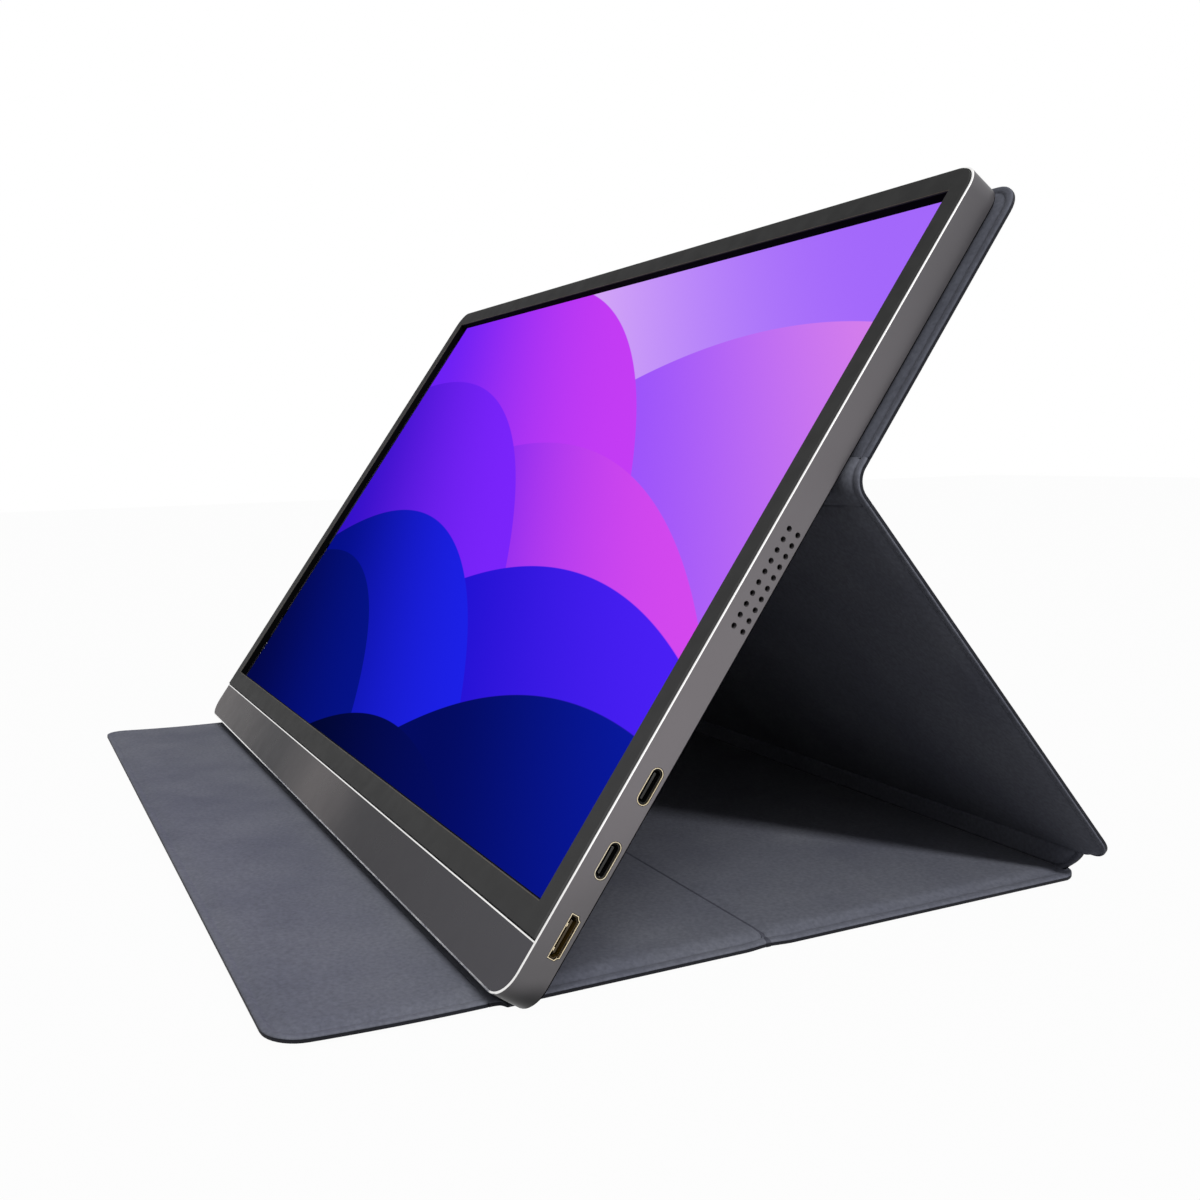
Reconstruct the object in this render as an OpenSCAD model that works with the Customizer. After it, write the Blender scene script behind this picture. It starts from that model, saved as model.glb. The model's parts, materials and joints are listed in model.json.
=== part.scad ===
/* [Monitor] */
// Width of the monitor
monitor_w = 359.4; // [356:0.1:362]
// Height of the monitor, measured along the screen
monitor_h = 224.8; // [223:0.1:230]
// Thickness of the monitor
monitor_t = 8.7; // [8.7:0.1:10]
// Radius of the monitor's corners
monitor_r = 9; // [7:0.5:11]
// Polished chamfer round the front edge
front_chamfer = 0.8; // [0.4:0.1:1]
// Small chamfer round the back edge
back_chamfer = 0.4; // [0.2:0.1:0.6]
// Side wall of the shell
side_wall = 1.3; // [1.1:0.1:1.5]
// Back wall of the shell
back_wall = 0.9; // [0.8:0.1:1]
// Angle of the screen above the table
tilt = 54.5; // [52:0.5:58]

/* [Display] */
// Height of the metal chin
chin_h = 15; // [14:0.5:17]
// Bezel between the chin and the screen opening
bezel_low = 7.5; // [7:0.1:9]
// Bezel and wall beside the screen opening
bezel_side = 7.1; // [6.8:0.1:8]
// Bezel and wall above the screen opening
bezel_top = 7.7; // [7:0.1:9]
// Thickness of the chin and of the bezel's face
face_t = 1.2; // [1:0.1:1.4]
// Depth of the display glass below the front face
glass_depth = 3.2; // [3:0.1:3.2]
// Margin of the display glass hidden behind the bezel
glass_lap = 1; // [0.8:0.1:1]
// Thickness of the liquid crystal cell
cell_t = 1.1; // [0.9:0.1:1.1]
// Thickness of the diffuser films
film_t = 0.4; // [0.2:0.1:0.4]
// Thickness of the light guide
guide_t = 1.2; // [1:0.1:1.2]
// Thickness of the reflector sheet
reflector_t = 0.2; // [0.1:0.1:0.2]
// Sheet thickness of the display's steel tray
tray_t = 0.4; // [0.3:0.1:0.4]

/* [Ports and controls] */
// Height of the mini HDMI socket's middle
hdmi_v = 18.5; // [17:0.5:20]
// Height of the lower USB-C socket's middle
usb_low_v = 37.3; // [36:0.1:40]
// Height of the upper USB-C socket's middle
usb_high_v = 55.9; // [53:0.1:57]
// Height of the headphone socket's middle
audio_v = 13; // [12.6:0.1:14]
// Diameter of the headphone plug's hole
audio_d = 3.5; // [3.2:0.1:3.6]
// Height of the speaker grille's middle
speaker_v = 109.5; // [105:0.5:115]
// Holes along a speaker grille
grille_rows = 10; // [6:1:10]
// Distance between the grille's holes
grille_pitch = 2.88; // [2.4:0.01:2.9]
// Diameter of a grille hole
grille_d = 1.4; // [1:0.1:1.5]
// Height of the power button's middle
power_v = 56; // [52:0.5:60]
// Length of the power button
power_len = 9; // [7:0.5:10]
// Inward travel of the power button
power_travel = 0.4; // [0.3:0.1:0.4]
// Height of the menu wheel's middle
menu_v = 37; // [35:0.5:40]
// Radius of the menu wheel
menu_r = 2.7; // [2.5:0.1:2.8]
// Thickness of the menu wheel
menu_t = 2; // [1.6:0.1:2.2]
// Diameter of the menu wheel's pin
menu_pin_d = 1.2; // [1:0.1:1.4]

/* [Circuit boards] */
// Thickness of the circuit boards
board_t = 0.5; // [0.4:0.1:0.5]
// Distance of the boards in the chin from the side walls
board_edge = 1.4; // [1.2:0.1:2]
// Height of the chin's circuit boards
chin_board_h = 15.6; // [14:0.1:16]
// Length of the driver board
driver_len = 166; // [150:1:170]
// Distance between the driver board and the display's timing board
boards_apart = 8; // [6:1:12]
// Width of the port board
port_board_w = 20; // [18:1:24]
// Shank diameter of the small screws
screw_d = 1.4; // [1.2:0.1:1.6]

/* [Cover] */
// How far the upper panel and the leg stand past the monitor's sides
cover_side = 3.8; // [2:0.1:8]
// How far the base and the spine stay back from the leg's side edges
base_side = 13.5; // [0:0.5:18]
// Thickness of a cover panel
panel_t = 3.3; // [3:0.1:4]
// Thickness of the outer skin
skin_t = 0.5; // [0.4:0.1:0.7]
// Thickness of the lining over the board
lining_t = 0.5; // [0.4:0.1:0.7]
// Depth of the pressed border below the field
press_depth = 0.5; // [0.3:0.1:0.6]
// Width of the pressed border
border_w = 5; // [4:0.5:7]
// Outer corner radius of the cover
cover_r = 8.5; // [6:0.5:11]
// Corner radius of the panels beside a fold
fold_r = 3.5; // [2:0.5:4.5]
// How far the webs of the folds stay back from the panels' side edges
web_inset = 3; // [2:0.5:5]
// Thickness of the bare web at the back fold
web_t = 1.4; // [1:0.1:2]
// Height of the back fold, up the monitor's back
hinge_v = 138.5; // [136:0.5:142]
// Bare web between the back fold and the upper panel
upper_gap = 7.5; // [6:0.5:9]
// Bare web between the back fold and the leg
leg_gap = 6.5; // [5:0.5:8]
// How far the upper panel reaches past the monitor's top edge
upper_reach = 1.6; // [0.6:0.2:3]
// Length of the leg between its two folds
leg_len = 134; // [131:0.5:136]
// Width of the spine between its two folds
spine_len = 8.3; // [7.5:0.1:10]
// Lean of the spine against the table
spine_dir = 86; // [80:1:90]
// Distance of the crease behind the monitor's front edge
crease_y = 74.7; // [70:0.1:80]
// Reach of the front flap before the monitor's front edge
flap_reach = 47; // [40:1:60]
// Width of the groove that the monitor stands in
groove_w = 8; // [7.6:0.1:9]
// Middle of the groove behind the monitor's front edge
groove_y = 5.5; // [5.2:0.1:5.7]
// Thickness of the lining on the groove's floor
groove_lining = 0.3; // [0.2:0.1:0.4]
// Open width of a crease
crease_w = 1; // [0.8:0.1:1.4]

/* [Magnets] */
// Diameter of the holding magnets
magnet_d = 16; // [12:1:18]
// Thickness of the holding magnets
magnet_t = 1; // [0.8:0.1:1.2]
// Distance of the holding magnets from the middle
magnet_x = 120; // [90:1:140]
// Distance of the magnets' two rows from the ends of the upper panel
magnet_end = 19; // [15:0.5:22]
// Diameter of the flap's magnets
flap_magnet_d = 10; // [8:1:12]

/* [Hidden] */
$fn = 48;
seam = 0.05;        // rigid parts that are laid into one another
fit = 0.15;         // running clearance of controls
soft_gap = 0.3;     // room kept round soft parts
rest_gap = 0.1;     // monitor edge above the groove's floor
cut = 1;            // overlap of cutting tools

// Widths of the cover
cover_w = monitor_w + 2 * cover_side;
base_w = cover_w - 2 * base_side;

// Planes of the monitor, counted from its front face along the screen's normal
floor_w = -(monitor_t - back_wall);
cell_top = -glass_depth;
film_top = cell_top - cell_t;
guide_top = film_top - film_t;
reflector_top = guide_top - guide_t;
tray_top = reflector_top - reflector_t;
tray_bottom = tray_top - tray_t;
board_top = floor_w + board_t;

// Outlines inside the monitor
half_w = monitor_w / 2;
inner_x = half_w - side_wall;
inner_r = monitor_r - side_wall;
bezel_face = -0.15;
bezel_lip = 1;
opening_w = monitor_w - 2 * bezel_side;
opening_v = chin_h + bezel_low;
opening_h = monitor_h - opening_v - bezel_top;
glass_w = opening_w + 2 * glass_lap;
glass_v0 = opening_v - glass_lap;
glass_v1 = opening_v + opening_h + glass_lap;
tray_room = 0.4;
tray_side = 0.3;
tray_x = glass_w / 2 + tray_room;
tray_wall_top = film_top + 0.3;
tray_out = tray_x + tray_side;
ear_x = (tray_out + inner_x) / 2;
ear_r = (inner_x - tray_out) / 2 - seam;
led_h = 1.2;
stack_back = 0.2;
screw_head_h = 0.5;
screw_head_r = screw_d / 2 + 0.6;
screw_hole_d = screw_d + 2 * seam;

// Sockets lie on the port board and end just inside the wall's outer face
socket_back = glass_w / 2 + 0.4;
socket_front = half_w - 0.2;
socket_len = socket_front - socket_back;
shell_sheet = 0.3;
tongue_back = 0.7;
usb_size = [9.2, 3.2];
usb_tongue = [6.6, 0.7];
usb_w = board_top + usb_size[1] / 2;
hdmi_size = [10.8, 2.9];
hdmi_tongue = [8, 0.6];
hdmi_chamfer = 0.9;
hdmi_w = board_top + hdmi_size[1] / 2;
port_room = 0.25;
port_rows = [usb_low_v, usb_high_v];
port_screw_rows = [(hdmi_v + hdmi_size[0] / 2 + usb_low_v - usb_size[0] / 2) / 2,
                   (usb_low_v + usb_high_v) / 2];
port_board_v0 = hdmi_v - hdmi_size[0] / 2 - 2;
port_board_v1 = usb_high_v + usb_size[0] / 2 + 3;

// Boards in the chin
chin_board_v = side_wall + board_edge;
driver_x1 = inner_x - port_board_w - board_edge;
driver_x0 = driver_x1 - driver_len;
audio_size = [11, 6.4, 5];
audio_room = 18.35;
timing_x1 = driver_x0 - boards_apart;
timing_x0 = -inner_x + seam + audio_size[0] + audio_room;
timing_mid = (timing_x0 + timing_x1) / 2;
flex_w = 24;
flex_spread = 0.35 * (timing_x1 - timing_x0);
plug_len = 5;
plug_h = 1;
plug_in = 1;
ribbon_t = 0.2;
ribbon_lap = 4;
ribbon_v = chin_board_v + 6.7;
board_screw_in = 3;
port_screw_in = 2.6;

// Headphone socket
audio_w = floor_w + audio_size[2] / 2;
audio_depth = 9;

// Speakers
grille_cols = [-3.8, -6.65];
grille_len = (grille_rows - 1) * grille_pitch;
gauze_t = 0.2;
speaker_len = grille_len + 5;
speaker_front = inner_x - gauze_t - 2 * seam;
speaker_back = tray_out + 0.2;
speaker_top = bezel_face - face_t - 0.3;
well_depth = 1.5;

// Screw ears of the tray: above the ports, above the speakers and near the top
ear_rows = [port_board_v1 + 11.5, speaker_v + speaker_len / 2 + 15, monitor_h - 19.8];

// Controls on the left side
button_board_v = [menu_v - 5, power_v + power_len / 2 + 4];
button_screw_in = 1.7;
control_w = -4.6;
power_h = 2.4;
power_proud = 0.3;
power_flange = 0.4;
switch_len = 3.4;
switch_front = inner_x - fit - power_flange - power_travel - seam;
switch_back = tray_out + fit;
menu_x = tray_out + 0.5 + menu_r;
menu_top = control_w + menu_t / 2;
menu_low = menu_top - menu_t;
menu_grip_d = 0.4;
pin_collar_r = menu_pin_d / 2 + 0.25;
pin_head_h = 0.4;

// Layers of a cover panel, counted from the middle of its thickness
half_t = panel_t / 2;
skin_top = -half_t + skin_t;
board_level = half_t - lining_t;
border_level = half_t - press_depth;
board_inset = border_w + 0.6;
cut_back = half_t + soft_gap;

// How the monitor stands in the groove, with y counted from its front bottom edge
groove_floor = skin_t + groove_lining;
stand_z = groove_floor + rest_gap + (monitor_t - back_chamfer) * cos(tilt);
pivot_w = -(monitor_t + soft_gap + half_t);

// Fold lines of the cover, each as [y, z]: A at the back, B at the foot, C at the rear
fold_a = [hinge_v * cos(tilt) - pivot_w * sin(tilt),
          stand_z + hinge_v * sin(tilt) + pivot_w * cos(tilt)];
foot_z = half_t + spine_len * sin(spine_dir);
leg_dir = 180 - asin((fold_a[1] - foot_z) / leg_len);
fold_b = fold_a - leg_len * [cos(leg_dir), sin(leg_dir)];
rear_y = fold_b[0] - spine_len * cos(spine_dir);
fold_c = [rear_y, half_t];

// Middle of the folio's depth, which the frame's origin stands on
back_y = max(fold_b[0], fold_c[0]) + half_t;
mid_y = (back_y - flap_reach) / 2;

// Ends of the panels
upper_v0 = hinge_v + upper_gap;
upper_v1 = monitor_h + upper_reach;
leg_end = leg_len - leg_gap;
flap_end = groove_y - groove_w / 2;
middle_start = groove_y + groove_w / 2;
skin_gap = 1;
spine_r = 0.5;
rear_end = rear_y - cut_back;
rear_start = crease_y + crease_w / 2;
middle_end = crease_y - crease_w / 2;
web_w = cover_w - 2 * web_inset;
base_web_w = base_w - 2 * web_inset;

// Magnets
magnet_spots = [for (x = [-magnet_x, magnet_x], v = [upper_v0 + magnet_end, upper_v1 - magnet_end])
                [x, v]];
flap_magnet_x = 60;
flap_magnet_t = 1.2;
flap_magnet_y = -flap_reach + board_inset + flap_magnet_d / 2 + 3;

// Unit vector at an angle, and its normal on the lining's side
function along(angle) = [cos(angle), sin(angle)];
function across(angle) = [-sin(angle), cos(angle)];

// ---------- places ----------

// Folio on the table, with y counted from the monitor's front bottom edge
module at_table() {
    translate([0, -mid_y, 0]) children();
}

// Base panels, with z counted from the middle of their thickness
module at_base() {
    at_table() translate([0, 0, half_t]) children();
}

// Monitor: x across, y up the screen, z out of the screen
module at_monitor() {
    at_table() translate([0, 0, stand_z]) rotate([tilt, 0, 0]) children();
}

// Upper panel, in the monitor's directions, with z counted from its middle
module at_upper() {
    at_monitor() translate([0, 0, pivot_w]) children();
}

// Leg: y runs from the foot fold up to the back fold
module at_leg() {
    at_table() translate([0, fold_b[0], fold_b[1]]) rotate([leg_dir, 0, 0]) children();
}

// Spine: y runs from the rear fold up to the foot fold
module at_spine() {
    at_table() translate([0, fold_c[0], fold_c[1]]) rotate([spine_dir, 0, 0]) children();
}

// Extrudes a profile, drawn in the place's y and z, along x from x0 to x1
module along_x(x0, x1) {
    translate([x0, 0, 0]) rotate([90, 0, 90]) linear_extrude(x1 - x0) children();
}

// ---------- shapes ----------

// Box between two corners
module box(low, high) {
    translate(low) cube(high - low);
}

// Rectangle with radius r0 at its lower corners and r1 at its upper corners
module rounded(w, y0, y1, r0, r1) {
    mid = (y0 + y1) / 2;
    translate([-w / 2, y0 + r0]) square([w, y1 - r1 - y0 - r0]);
    translate([-w / 2 + r0, y0]) square([w - 2 * r0, mid - y0]);
    translate([-w / 2 + r1, mid]) square([w - 2 * r1, y1 - mid]);
    for (side = [-1, 1]) {
        translate([side * (w / 2 - r0), y0 + r0]) circle(r = r0);
        translate([side * (w / 2 - r1), y1 - r1]) circle(r = r1);
    }
}

// Flat plate with rounded corners between two levels
module plate(w, y0, y1, r0, r1, z0, z1) {
    translate([0, 0, z0]) linear_extrude(z1 - z0) rounded(w, y0, y1, r0, r1);
}

// Slot outline with round ends, long in its first direction
module slot(size) {
    square([size[0] - size[1], size[1]], center = true);
    for (side = [-1, 1]) translate([side * (size[0] - size[1]) / 2, 0]) circle(d = size[1]);
}

// Mini HDMI outline: the two corners at the monitor's back are cut off
module hdmi_outline(size, chamfer) {
    a = size[0] / 2;
    b = size[1] / 2;
    polygon([[-a, b], [a, b], [a, -b + chamfer], [a - chamfer, -b],
             [-a + chamfer, -b], [-a, -b + chamfer]]);
}

// ---------- monitor: housing ----------

// Outer body of the shell: two crossing bars with chamfered edges, and four turned corners
module shell_body() {
    a = half_w;
    b = monitor_h;
    r = monitor_r;
    low = -monitor_t;
    side = low + back_chamfer;
    along_x(-a + r, a - r)
        polygon([[back_chamfer, low], [b - back_chamfer, low], [b, side], [b, -front_chamfer],
                 [b - front_chamfer, 0], [front_chamfer, 0], [0, -front_chamfer], [0, side]]);
    translate([0, b - r, 0]) rotate([90, 0, 0]) linear_extrude(b - 2 * r)
        polygon([[-a + back_chamfer, low], [a - back_chamfer, low], [a, side],
                 [a, -front_chamfer], [a - front_chamfer, 0], [-a + front_chamfer, 0],
                 [-a, -front_chamfer], [-a, side]]);
    for (x = [-a + r, a - r], y = [r, b - r]) translate([x, y, 0]) rotate_extrude()
        polygon([[0, low], [r - back_chamfer, low], [r, side], [r, -front_chamfer],
                 [r - front_chamfer, 0], [0, 0]]);
}

// Holes for one speaker through the side wall; side is 1 on the right and -1 on the left
module grille(side) {
    for (row = [0 : grille_rows - 1], w = grille_cols)
        translate([side * half_w, speaker_v - grille_len / 2 + row * grille_pitch, w])
            rotate([0, 90, 0]) cylinder(d = grille_d, h = 2 * side_wall + cut, center = true);
}

module port_holes() {
    along_x(inner_x - cut, half_w + cut) {
        for (v = port_rows) translate([v, usb_w]) slot(usb_size + 2 * [port_room, port_room / 2]);
        translate([hdmi_v, hdmi_w]) hdmi_outline(hdmi_size + [port_room, port_room], hdmi_chamfer);
    }
}

module control_holes() {
    along_x(-half_w - cut, -inner_x + cut) {
        translate([power_v, control_w]) slot([power_len, power_h] + 2 * [fit, fit]);
        translate([menu_v, control_w])
            square([2 * menu_r + 2 * fit, menu_t + 2 * fit], center = true);
    }
    translate([-half_w - cut, audio_v, audio_w])
        rotate([0, 90, 0]) cylinder(d = audio_d + 2 * fit, h = side_wall + 2 * cut);
}

module each_ear() {
    for (side = [-1, 1], v = ear_rows) translate([side * ear_x, v, 0]) children();
}

// Places of the screws that hold the four circuit boards
board_spots = concat(
    [for (x = [driver_x0 + board_screw_in, driver_x1 - board_screw_in])
        [x, chin_board_v + chin_board_h - board_screw_in]],
    [for (x = [timing_x0 + board_screw_in, timing_x1 - board_screw_in])
        [x, chin_board_v + board_screw_in]],
    [for (v = port_screw_rows) [inner_x - port_screw_in, v]],
    [[-ear_x, button_board_v[0] + button_screw_in]]);

module each_board_screw() {
    for (p = board_spots) translate([p[0], p[1], 0]) children();
}

module rear_shell() {
    color("#66625f") at_monitor() difference() {
        union() {
            difference() {
                shell_body();
                plate(2 * inner_x, side_wall, monitor_h - side_wall, inner_r, inner_r, floor_w, cut);
            }
            each_ear() translate([0, 0, floor_w - cut / 2])
                cylinder(r = ear_r, h = tray_bottom - floor_w + cut / 2);
        }
        each_ear() translate([0, 0, floor_w - back_wall / 2])
            cylinder(d = screw_hole_d, h = monitor_t);
        each_board_screw() translate([0, 0, floor_w - back_wall / 2])
            cylinder(d = screw_hole_d, h = monitor_t);
        grille(1);
        grille(-1);
        port_holes();
        control_holes();
    }
}

module chin_panel() {
    color("#4b4a4c") at_monitor() intersection() {
        plate(2 * (inner_x - seam), side_wall + seam, monitor_h, inner_r - seam, inner_r - seam,
              -face_t, 0);
        box([-half_w, 0, -face_t - cut], [half_w, chin_h, cut]);
    }
}

module front_bezel() {
    color("#3e3e3c") at_monitor() difference() {
        union() {
            intersection() {
                plate(2 * (inner_x - seam), 0, monitor_h - side_wall - seam,
                      inner_r - seam, inner_r - seam, bezel_face - face_t, bezel_face);
                box([-half_w, chin_h, -monitor_t], [half_w, monitor_h, cut]);
            }
            box([-opening_w / 2 - bezel_lip, opening_v - bezel_lip, cell_top + seam],
                [opening_w / 2 + bezel_lip, opening_v + opening_h + bezel_lip, bezel_face - cut]);
        }
        box([-opening_w / 2, opening_v, -monitor_t], [opening_w / 2, opening_v + opening_h, cut]);
    }
}

// ---------- monitor: display ----------

// Sheet of the display's stack between two levels, held back from the glass's edge
module stack_sheet(back, low, high) {
    box([-glass_w / 2 + back, glass_v0 + back, low], [glass_w / 2 - back, glass_v1 - back, high]);
}

module lcd_cell() {
    color("#2a2350") at_monitor() stack_sheet(0, film_top, cell_top);
}

module diffuser_films() {
    color("#f2f2ee") at_monitor() stack_sheet(stack_back, guide_top, film_top);
}

module light_guide() {
    color("#e4eef2") at_monitor()
        box([-glass_w / 2 + stack_back, glass_v0 + led_h + seam, reflector_top],
            [glass_w / 2 - stack_back, glass_v1 - stack_back, guide_top]);
}

// Row of light-emitting diodes below the light guide
module led_strip() {
    color("#fbf3c8") at_monitor()
        box([-glass_w / 2 + led_h, glass_v0, reflector_top],
            [glass_w / 2 - led_h, glass_v0 + led_h, guide_top]);
}

module reflector_sheet() {
    color("#f7f7f5") at_monitor() stack_sheet(stack_back, tray_top, reflector_top);
}

module panel_tray() {
    color("#b4b8ba") at_monitor() difference() {
        union() {
            difference() {
                box([-tray_out, glass_v0 - tray_room - tray_side, tray_bottom],
                    [tray_out, glass_v1 + tray_room + tray_side, tray_wall_top]);
                box([-tray_x, glass_v0 - tray_room, tray_top],
                    [tray_x, glass_v1 + tray_room, cut]);
            }
            each_ear() translate([0, 0, tray_bottom]) cylinder(r = ear_r, h = tray_t);
            each_ear() box([-ear_r, -ear_r, tray_bottom], [ear_r, ear_r, tray_top]);
        }
        each_ear() translate([0, 0, -monitor_t]) cylinder(d = screw_hole_d, h = monitor_t);
        box([glass_w / 2 + fit, 0, -monitor_t], [half_w, port_board_v1, cut]);
    }
}

module panel_flex() {
    color("#c98a2b") at_monitor() for (x = [-flex_spread, 0, flex_spread])
        along_x(timing_mid + x - flex_w / 2, timing_mid + x + flex_w / 2) flex_outline();
}

// Flex from the glass's edge, over the tray's wall and down onto the timing board
module flex_outline() {
    v0 = glass_v0 - tray_room - tray_side - 2 * ribbon_t - seam;
    high = tray_wall_top + seam + ribbon_t;
    v_foot = chin_board_v + chin_board_h - 2;
    polygon([[glass_v0, high], [v0, high], [v0, board_top + ribbon_t],
             [v_foot, board_top + ribbon_t], [v_foot, board_top], [v0 + ribbon_t, board_top],
             [v0 + ribbon_t, high - ribbon_t], [glass_v0, high - ribbon_t]]);
}

// ---------- monitor: boards ----------

module board_holes() {
    each_board_screw() translate([0, 0, -monitor_t]) cylinder(d = screw_hole_d, h = monitor_t);
}

// Chip or plug on a board, with its corner at x and v and its size given
module chip(x, v, size) {
    box([x, v, board_top - board_t / 2], [x + size[0], v + size[1], board_top + size[2]]);
}

// Plugs at both ends of the driver board, with four chips spread evenly between them
module driver_board() {
    v = chin_board_v;
    chips = [[plug_len, 8, plug_h], [11, 10, 1.2], [8, 8, 1], [14, 7, 1.6], [9, 9, 1.2],
             [plug_len, 8, plug_h]];
    pitch = (driver_len - 2 * plug_in - plug_len) / (len(chips) - 1);
    color("#1f6b3a") at_monitor() {
        difference() {
            box([driver_x0, v, floor_w], [driver_x1, v + chin_board_h, board_top]);
            board_holes();
        }
        for (i = [0 : len(chips) - 1])
            chip(driver_x0 + plug_in + i * pitch, v + board_screw_in, chips[i]);
    }
}

module timing_board() {
    v = chin_board_v;
    chip_size = [10, 8, 1];
    color("#1f5f6b") at_monitor() {
        difference() {
            box([timing_x0, v, floor_w], [timing_x1, v + chin_board_h, board_top]);
            board_holes();
        }
        chip(timing_x1 - plug_in - plug_len, v + board_screw_in + 2, [plug_len, 8, plug_h]);
        chip(timing_mid - chip_size[0] / 2, v + board_screw_in, chip_size);
    }
}

module port_board() {
    color("#1f6b3a") at_monitor() {
        difference() {
            box([inner_x - port_board_w, port_board_v0, floor_w],
                [inner_x - seam, port_board_v1, board_top]);
            board_holes();
        }
        chip(inner_x - port_board_w + plug_in, port_board_v0 + 1, [ribbon_lap, 7, plug_h]);
    }
}

module button_board() {
    color("#1f6b3a") at_monitor() difference() {
        box([-inner_x + seam, button_board_v[0], floor_w],
            [-tray_out, button_board_v[1], board_top]);
        board_holes();
    }
}

// Flat ribbons from the timing board to the driver board, and from there to the port board
module display_cable() {
    low = board_top + plug_h;
    color("#c98a2b") at_monitor() {
        box([timing_x1 - plug_in - ribbon_lap, ribbon_v, low],
            [driver_x0 + plug_in + ribbon_lap, ribbon_v + ribbon_lap, low + ribbon_t]);
        box([driver_x1 - plug_in - ribbon_lap, ribbon_v, low],
            [inner_x - port_board_w + plug_in + ribbon_lap / 2, ribbon_v + ribbon_lap,
             low + ribbon_t]);
    }
}

module board_screws() {
    color("#c9cbcc") at_monitor() each_board_screw() {
        translate([0, 0, board_top]) cylinder(r = screw_head_r, h = screw_head_h);
        translate([0, 0, floor_w - back_wall / 2 + seam])
            cylinder(d = screw_d, h = board_t + back_wall / 2);
    }
}

module panel_screws() {
    color("#c9cbcc") at_monitor() each_ear() {
        translate([0, 0, tray_top]) cylinder(r = screw_head_r, h = screw_head_h);
        translate([0, 0, floor_w + seam]) cylinder(d = screw_d, h = tray_top - floor_w);
    }
}

// ---------- monitor: sockets, speakers and controls ----------

// Tongue in the middle of a socket
module tongue(v, w, size) {
    along_x(socket_back, socket_front - tongue_back) translate([v, w]) square(size, center = true);
}

module usb_socket(v) {
    at_monitor() {
        difference() {
            along_x(socket_back, socket_front) translate([v, usb_w]) slot(usb_size);
            along_x(socket_back + shell_sheet, half_w) translate([v, usb_w])
                slot(usb_size - 2 * [shell_sheet, shell_sheet]);
        }
        tongue(v, usb_w, usb_tongue);
    }
}

module usb_c_socket_lower() {
    color("#b98d54") usb_socket(usb_low_v);
}

module usb_c_socket_upper() {
    color("#b98d54") usb_socket(usb_high_v);
}

module hdmi_socket() {
    color("#b98d54") at_monitor() {
        difference() {
            along_x(socket_back, socket_front) translate([hdmi_v, hdmi_w])
                hdmi_outline(hdmi_size, hdmi_chamfer);
            along_x(socket_back + shell_sheet, half_w) translate([hdmi_v, hdmi_w])
                hdmi_outline(hdmi_size - 2 * [shell_sheet, shell_sheet], hdmi_chamfer);
        }
        tongue(hdmi_v, hdmi_w, hdmi_tongue);
    }
}

module audio_socket() {
    x0 = -inner_x + seam;
    color("#222224") at_monitor() difference() {
        box([x0, audio_v - audio_size[1] / 2, floor_w],
            [x0 + audio_size[0], audio_v + audio_size[1] / 2, floor_w + audio_size[2]]);
        translate([x0 - cut, audio_v, audio_w])
            rotate([0, 90, 0]) cylinder(d = audio_d, h = audio_depth + cut);
    }
}

// Slim speaker box behind a grille, with a round cone well in its front
module speaker(side) {
    low = floor_w + seam;
    color("#1c1c1e") at_monitor() mirror([side < 0 ? 1 : 0, 0, 0]) difference() {
        box([speaker_back, speaker_v - speaker_len / 2, low],
            [speaker_front, speaker_v + speaker_len / 2, speaker_top]);
        along_x(speaker_front - well_depth, half_w) translate([speaker_v, (low + speaker_top) / 2])
            slot([speaker_len - 2 * well_depth, speaker_top - low - well_depth]);
    }
}

module speaker_right() {
    speaker(1);
}

module speaker_left() {
    speaker(-1);
}

// Fine black gauze glued over the grille's holes, inside the wall
module gauze(side) {
    color("#101012") at_monitor() mirror([side < 0 ? 1 : 0, 0, 0])
        box([inner_x - seam - gauze_t, speaker_v - speaker_len / 2, floor_w + seam],
            [inner_x - seam, speaker_v + speaker_len / 2, speaker_top]);
}

module speaker_gauze_right() {
    gauze(1);
}

module speaker_gauze_left() {
    gauze(-1);
}

module power_button() {
    color("#8b8783") at_monitor() {
        along_x(-half_w - power_proud, -inner_x + fit)
            translate([power_v, control_w]) slot([power_len, power_h]);
        along_x(-inner_x + fit, -inner_x + fit + power_flange)
            translate([power_v, control_w]) slot([power_len + 2, power_h + 1]);
    }
}

module power_switch() {
    color("#303034") at_monitor()
        box([-switch_front, power_v - switch_len / 2, board_top],
            [-switch_back, power_v + switch_len / 2, control_w + power_h / 2]);
}

module menu_wheel() {
    color("#8b8783") at_monitor() translate([-menu_x, menu_v, menu_low]) difference() {
        cylinder(r = menu_r, h = menu_t);
        translate([0, 0, -cut]) cylinder(d = menu_pin_d + 2 * fit, h = menu_t + 2 * cut);
        for (a = [120 : 12 : 240]) rotate([0, 0, a]) translate([menu_r, 0, -cut])
            cylinder(d = menu_grip_d, h = menu_t + 2 * cut, $fn = 16);
    }
}

module menu_pin() {
    color("#c9cbcc") at_monitor() translate([-menu_x, menu_v, board_top]) {
        cylinder(r = pin_collar_r, h = menu_low - fit - board_top);
        cylinder(d = menu_pin_d, h = menu_top + fit - board_top);
        translate([0, 0, menu_top + fit - board_top]) cylinder(r = pin_collar_r, h = pin_head_h);
    }
}

// Lever switch beside the wheel that its turning works
module menu_switch() {
    v0 = menu_v + menu_r + fit;
    color("#303034") at_monitor()
        box([-inner_x + fit, v0, board_top],
            [-tray_out - fit, v0 + switch_len, menu_top]);
}

module shell_magnets() {
    color("#9a9ca0") at_monitor() for (p = magnet_spots) translate([p[0], p[1], floor_w])
        cylinder(d = magnet_d, h = magnet_t);
}

// ---------- cover: panels ----------

module skin(w, y0, y1, r0, r1) {
    plate(w, y0, y1, r0, r1, -half_t, skin_top);
}

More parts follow.
